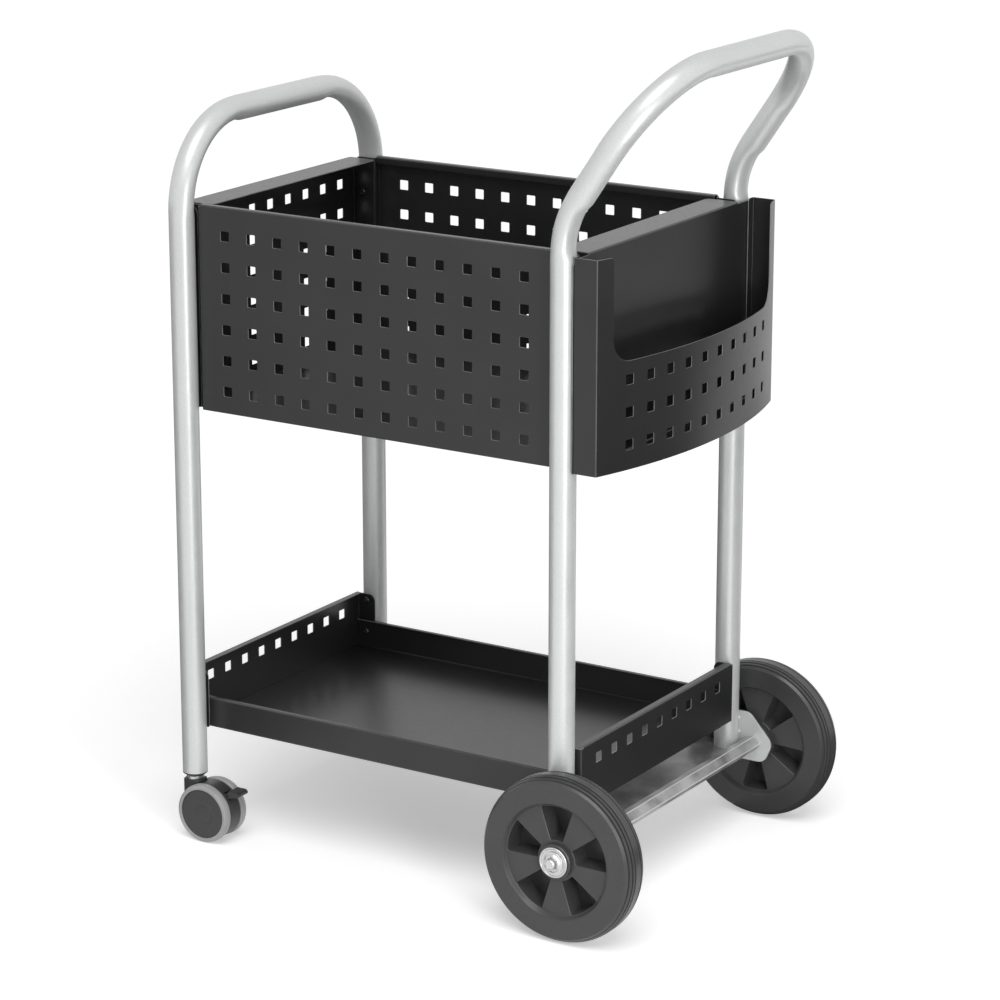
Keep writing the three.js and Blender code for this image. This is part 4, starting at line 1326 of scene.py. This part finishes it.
def caster_outline(slotted):
    """The side of the caster's round hood, with the lever's slot in its middle."""
    hood_end = acos(-HUB_X / HOOD_R)
    hood = hood_arc(BODY_LOW_ANGLE, hood_end, HOOD_STEPS)
    if slotted:
        half = asin(SLOT_REACH / HOOD_R)
        along = Vector((cos(PIVOT_ANGLE), sin(PIVOT_ANGLE)))
        deep = Vector((HUB_X, CASTER_R)) + along * (PIVOT_R - SLOT_REACH)
        notch = [(*(deep + left_of(along) * reach), SLOT_CORNER) for reach in (-SLOT_REACH, SLOT_REACH)]
        low_steps, high_steps = SLOTTED_STEPS
        hood = hood_arc(BODY_LOW_ANGLE, PIVOT_ANGLE - half, low_steps) + notch
        hood += hood_arc(PIVOT_ANGLE + half, hood_end, high_steps)
    front = [(NECK_FRONT_X, z, MEDIUM_CORNER) for z in (NECK_SHOULDER, NECK_LOW)]
    return rounded_loop(hood + front)


def side_plate(draft, loop, y, low, high, soft_low, soft_high):
    """A slab with its side outline in x and z, between two places across from y."""
    surface = Surface((0, y + high, 0), AXIS_X, AXIS_Z, -AXIS_Y)
    plate(draft, [loop], surface, high - low, soft_high, soft_low)


def neck_section(angle, radius, along):
    """Turns a circle into the neck's rounded rectangle, of the same size across."""
    across = abs(cos(angle)) * BODY_HALF_Y / NECK_HALF_X
    power = NECK_POWER
    return radius * (across ** power + abs(sin(angle)) ** power) ** (-1 / power), along


def caster_body(label, y):
    draft = Draft()
    side_plate(draft, caster_outline(True), y, -SLOT_HALF_Y, SLOT_HALF_Y, FLUSH, FLUSH)
    ear = round_loop(PIVOT_X, PIVOT_Z, EAR_R, PIN_SIDES)
    cheeks = ((caster_outline(False), BODY_HALF_Y, BODY_SOFT), (ear, BODY_HALF_Y - CLEAR, EAR_SOFT))
    for loop, out, soft in cheeks:
        side_plate(draft, loop, y, SLOT_HALF_Y, out, FLUSH, soft)
        side_plate(draft, loop, y, -out, -SLOT_HALF_Y, soft, FLUSH)
    neck = [
        (0, NECK_FOOT, 0), (BODY_HALF_Y - 2, NECK_FOOT, 2), (BODY_HALF_Y, NECK_SHOULDER, 2),
        (BODY_HALF_Y, NECK_TOP, BODY_SOFT), (0, NECK_TOP, 0),
    ]
    turned(draft, neck, (0, y, 0), AXIS_Z, NECK_SIDES, closed=False, shape=neck_section)
    draft.build(f"caster_fork_{label}", BLACK_PLASTIC, f"caster_{label}", f"caster_body_{label}")


def lever_outline():
    """The ribbed paddle of the brake lever, from its pivot."""
    ribs = []
    for k in range(LEVER_RIBS):
        front = LEVER_REACH - LEVER_RIB_START - k * LEVER_RIB_PITCH
        ribs += [(front - back, LEVER_TOP + up, 0) for back, up in LEVER_RIB]
    tip = [(LEVER_REACH, LEVER_TIP, 1.5), (LEVER_REACH, LEVER_TOP, 0.8)]
    return [(LEVER_BACK, 0, 1)] + tip + ribs + [(LEVER_BACK, LEVER_TOP, 1)]


def brake_lever(label, y):
    draft = Draft()
    outlines = ((LEVER_NECK, LEVER_ROOT_HALF, LEVER_ROOT_SOFT), (lever_outline(), LEVER_HALF, LEVER_SOFT))
    for corners, half, soft in outlines:
        placed = [(PIVOT_X + x, PIVOT_Z + z, radius) for x, z, radius in corners]
        side_plate(draft, rounded_loop(placed, LEVER_TURN), y, -half, half, soft, soft)
    root = round_loop(PIVOT_X, PIVOT_Z, LEVER_ROOT_R, PIN_SIDES)
    side_plate(draft, root, y, -LEVER_ROOT_HALF, LEVER_ROOT_HALF, LEVER_ROOT_SOFT, LEVER_ROOT_SOFT)
    node = f"caster_brake_lever_{label}"
    draft.build(f"lever_paddle_{label}", BLACK_PLASTIC, f"brake_lever_{label}", node)


def caster_wheel(label, letter, y, side):
    seat_r = DISC_R + CLEAR
    tread = [
        (seat_r, CASTER_IN, 0.3), (CASTER_R - 0.4, CASTER_IN, 2.2), (CASTER_R, CASTER_IN + 4, 5),
        (CASTER_R, CASTER_OUT - 5, 6), (CASTER_R - 1.2, CASTER_OUT - 1, 0.9),
        (CASTER_R - 3.4, CASTER_OUT, 1.0), (seat_r, CASTER_OUT - 0.4, 0.5),
    ]
    disc = [
        (0, CASTER_OUT - 5, 0), (DISC_BORE_R, CASTER_OUT - 5, 0), (DISC_BORE_R, CASTER_IN, 0),
        (DISC_R, CASTER_IN, 0.3), (DISC_R, CASTER_OUT - 0.9, 0.5), (DISC_R - 1.6, CASTER_OUT - 0.7, 1.0),
        (DISC_DISH_R + 2, CASTER_OUT - 1.6, 2.5), (DISC_DISH_R - 1, CASTER_OUT - 2.8, 2.5),
        (0, CASTER_OUT - 2.4, 0),
    ]
    for kind, profile, finish in (("tread", tread, TREAD_GREY), ("disc", disc, DISC_GREY)):
        turned_piece(
            f"{kind}_{label}_{letter}", f"caster_{kind}_{letter}_{label}", finish,
            f"caster_wheel_{label}_{letter}", profile, (HUB_X, y, CASTER_R), AXIS_Y * side, DISC_SIDES,
            closed=kind == "tread",
        )


def caster_stem(label, y):
    stem = [
        (0, STEM_LOW, 0), (STEM_R, STEM_LOW, 0.8), (STEM_R, COLLAR_LOW, 0.2), (COLLAR_R, COLLAR_LOW, 0.6),
        (COLLAR_R, COLLAR_HIGH, 0.6), (STEM_R, COLLAR_HIGH, 0.2), (STEM_R, STEM_HIGH, 1.2),
        (0, STEM_HIGH, 0),
    ]
    turned_piece(
        f"stem_collar_{label}", f"caster_stem_{label}", BRIGHT_ZINC, f"caster_{label}",
        stem, (0, y, 0), AXIS_Z, ROD_SIDES, closed=False,
    )
    bore = STEM_R + CLEAR
    low = COLLAR_HIGH + CLEAR
    flange_top = FRONT_FOOT_Z - CLEAR
    socket = [
        (bore, low, 0.2), (SOCKET_LOW_R, low, 0.6), (TUBE_R, flange_top - 1.2, 0.6),
        (TUBE_R, flange_top, 0.2), (SOCKET_R, flange_top, 0.2), (SOCKET_R, SOCKET_HIGH, 0.8),
        (bore, SOCKET_HIGH, 0.2),
    ]
    turned_piece(
        f"socket_plug_{label}", f"caster_socket_{label}", BLACK_PLASTIC, "cart",
        socket, (0, y, 0), AXIS_Z, SOCKET_SIDES,
    )


# Carried-over solids that stay as they are
def dress_kept_nodes():
    for label, _ in LEFT_RIGHT:
        for name in (f"wheel_bush_{label}", f"caster_axle_pin_{label}", f"caster_brake_pin_{label}"):
            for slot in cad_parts[name].material_slots:
                slot.material = BRIGHT_ZINC[0]


# Floor, light and camera
def matt(grey):
    return {"Base Color": (grey, grey, grey, 1), "Roughness": 0.9, "Specular IOR Level": 0.0}


def stage_sheet(name, corners, height, grey):
    """A flat matt sheet that belongs to the studio."""
    mesh = bpy.data.meshes.new(name)
    mesh.from_pydata([(x, y, height) for x, y in corners], [], [tuple(range(len(corners)))])
    material = bpy.data.materials.new(name)
    nodes = Nodes(material)
    nodes.feed(nodes.tree.nodes["Principled BSDF"], matt(grey))
    mesh.materials.append(material)
    sheet = bpy.data.objects.new(name, mesh)
    bpy.context.scene.collection.objects.link(sheet)
    return sheet


def white_floor(glow):
    """A pale floor that takes the shadow, and shows white where it is lit."""
    corners = [(a * FLOOR_HALF, b * FLOOR_HALF) for a, b in ((-1, -1), (1, -1), (1, 1), (-1, 1))]
    floor = stage_sheet("floor", corners, 0, FLOOR_GREY)
    nodes = Nodes(floor.active_material)
    plain = nodes.tree.nodes["Principled BSDF"]
    seen = nodes.node("BsdfPrincipled", matt(FLOOR_GREY))
    nodes.feed(seen, {"Emission Color": (1, 1, 1, 1), "Emission Strength": glow})
    nodes.mix_by_ray(plain, seen, "Material Output")


def dark_card(name, grey, corners):
    """A dark card flat on the floor, which only reflections see: it paints darker reflections, as of an
    unlit side of the studio.
    """
    card = stage_sheet(name, corners, CARD_LIFT, grey)
    for other_rays in ("visible_camera", "visible_diffuse", "visible_transmission", "visible_shadow"):
        setattr(card, other_rays, False)


def studio_world(light_level):
    """White for what is seen directly or in a reflection, and a plain dome of light otherwise."""
    world = bpy.data.worlds.new("studio")
    nodes = Nodes(world)
    seen = nodes.tree.nodes["Background"]
    nodes.feed(seen, {"Color": (1, 1, 1, 1), "Strength": 1.0})
    dome = nodes.node("Background", {"Color": (1, 1, 1, 1), "Strength": light_level})
    nodes.mix_by_ray(dome, seen, "World Output")
    bpy.context.scene.world = world


def aimed(data, position, target):
    """A lamp or camera at a position, turned to a target."""
    item = bpy.data.objects.new(data.name, data)
    item.location = position
    item.rotation_euler = (Vector(target) - Vector(position)).to_track_quat("-Z", "Y").to_euler()
    bpy.context.scene.collection.objects.link(item)
    return item


def soft_key(position, level, spread_angle):
    """One broad soft light, of even strength over the whole floor."""
    data = bpy.data.lights.new("soft_key", "SUN")
    data.energy = level
    data.angle = spread_angle
    aimed(data, position, (0, 0, 0))


def strip_box(position, target, wide, tall, power):
    """A tall narrow softbox that draws a streak down the tubes."""
    data = bpy.data.lights.new("strip_box", "AREA")
    data.shape = "RECTANGLE"
    data.size = wide
    data.size_y = tall
    data.energy = power
    aimed(data, position, target).visible_camera = False


def photo_camera():
    """A long lens a little above the cart, off its handle end and its left side."""
    data = bpy.data.cameras.new("camera")
    data.sensor_width = SENSOR_MM
    data.lens = LENS_MM
    bpy.context.scene.camera = aimed(data, CAMERA_AT, CAMERA_AIM)


tube_frames()
for label, side in LEFT_RIGHT:
    side_panel(label, side)
basket_ends()
basket_floor()
rear_pocket()
shelf()
screws()
axle_beam()
axle_bar()
for label, side in LEFT_RIGHT:
    wheel_bracket(label, side)
    weld_beads(label, side)
    tyre(label, side)
    hub(label, side)
    wheel_fixings(label, side)
    caster_stem(label, side * UPRIGHT_Y)
    caster_body(label, side * UPRIGHT_Y)
    brake_lever(label, side * UPRIGHT_Y)
    for letter, wheel_side in (("a", -1), ("b", 1)):
        caster_wheel(label, letter, side * UPRIGHT_Y, wheel_side)
dress_kept_nodes()

white_floor(glow=0.4)
# Cards that paint darker reflections into the panels and tubes
dark_card("right_card", 0.1, [
    (0.2, 0.1), (0.7, 0.1), (1, -1.2), (5, -1.2), (5, 5),
    (1.4, 5), (1.4, 2.9), (1.75, 2.4), (1.45, 1.6), (0.7, 0.95), (0.2, 0.7),
])
dark_card("left_card", 0.1, [(-0.42, -0.6), (-0.42, 3), (-5, 3), (-5, -5)])
dark_card("back_card", 0.3, [(0.7, 1.2), (0.7, 2.2), (-0.42, 2.2), (-0.42, 1.2)])
studio_world(light_level=0.3)
soft_key((1.7, -2.7, 5.2), level=1.5, spread_angle=radians(40))
strip_box((1.72, -1.37, 0.62), (0, 0, 0.5), wide=0.4, tall=1.2, power=15)
photo_camera()
bpy.context.scene.view_settings.view_transform = "Standard"
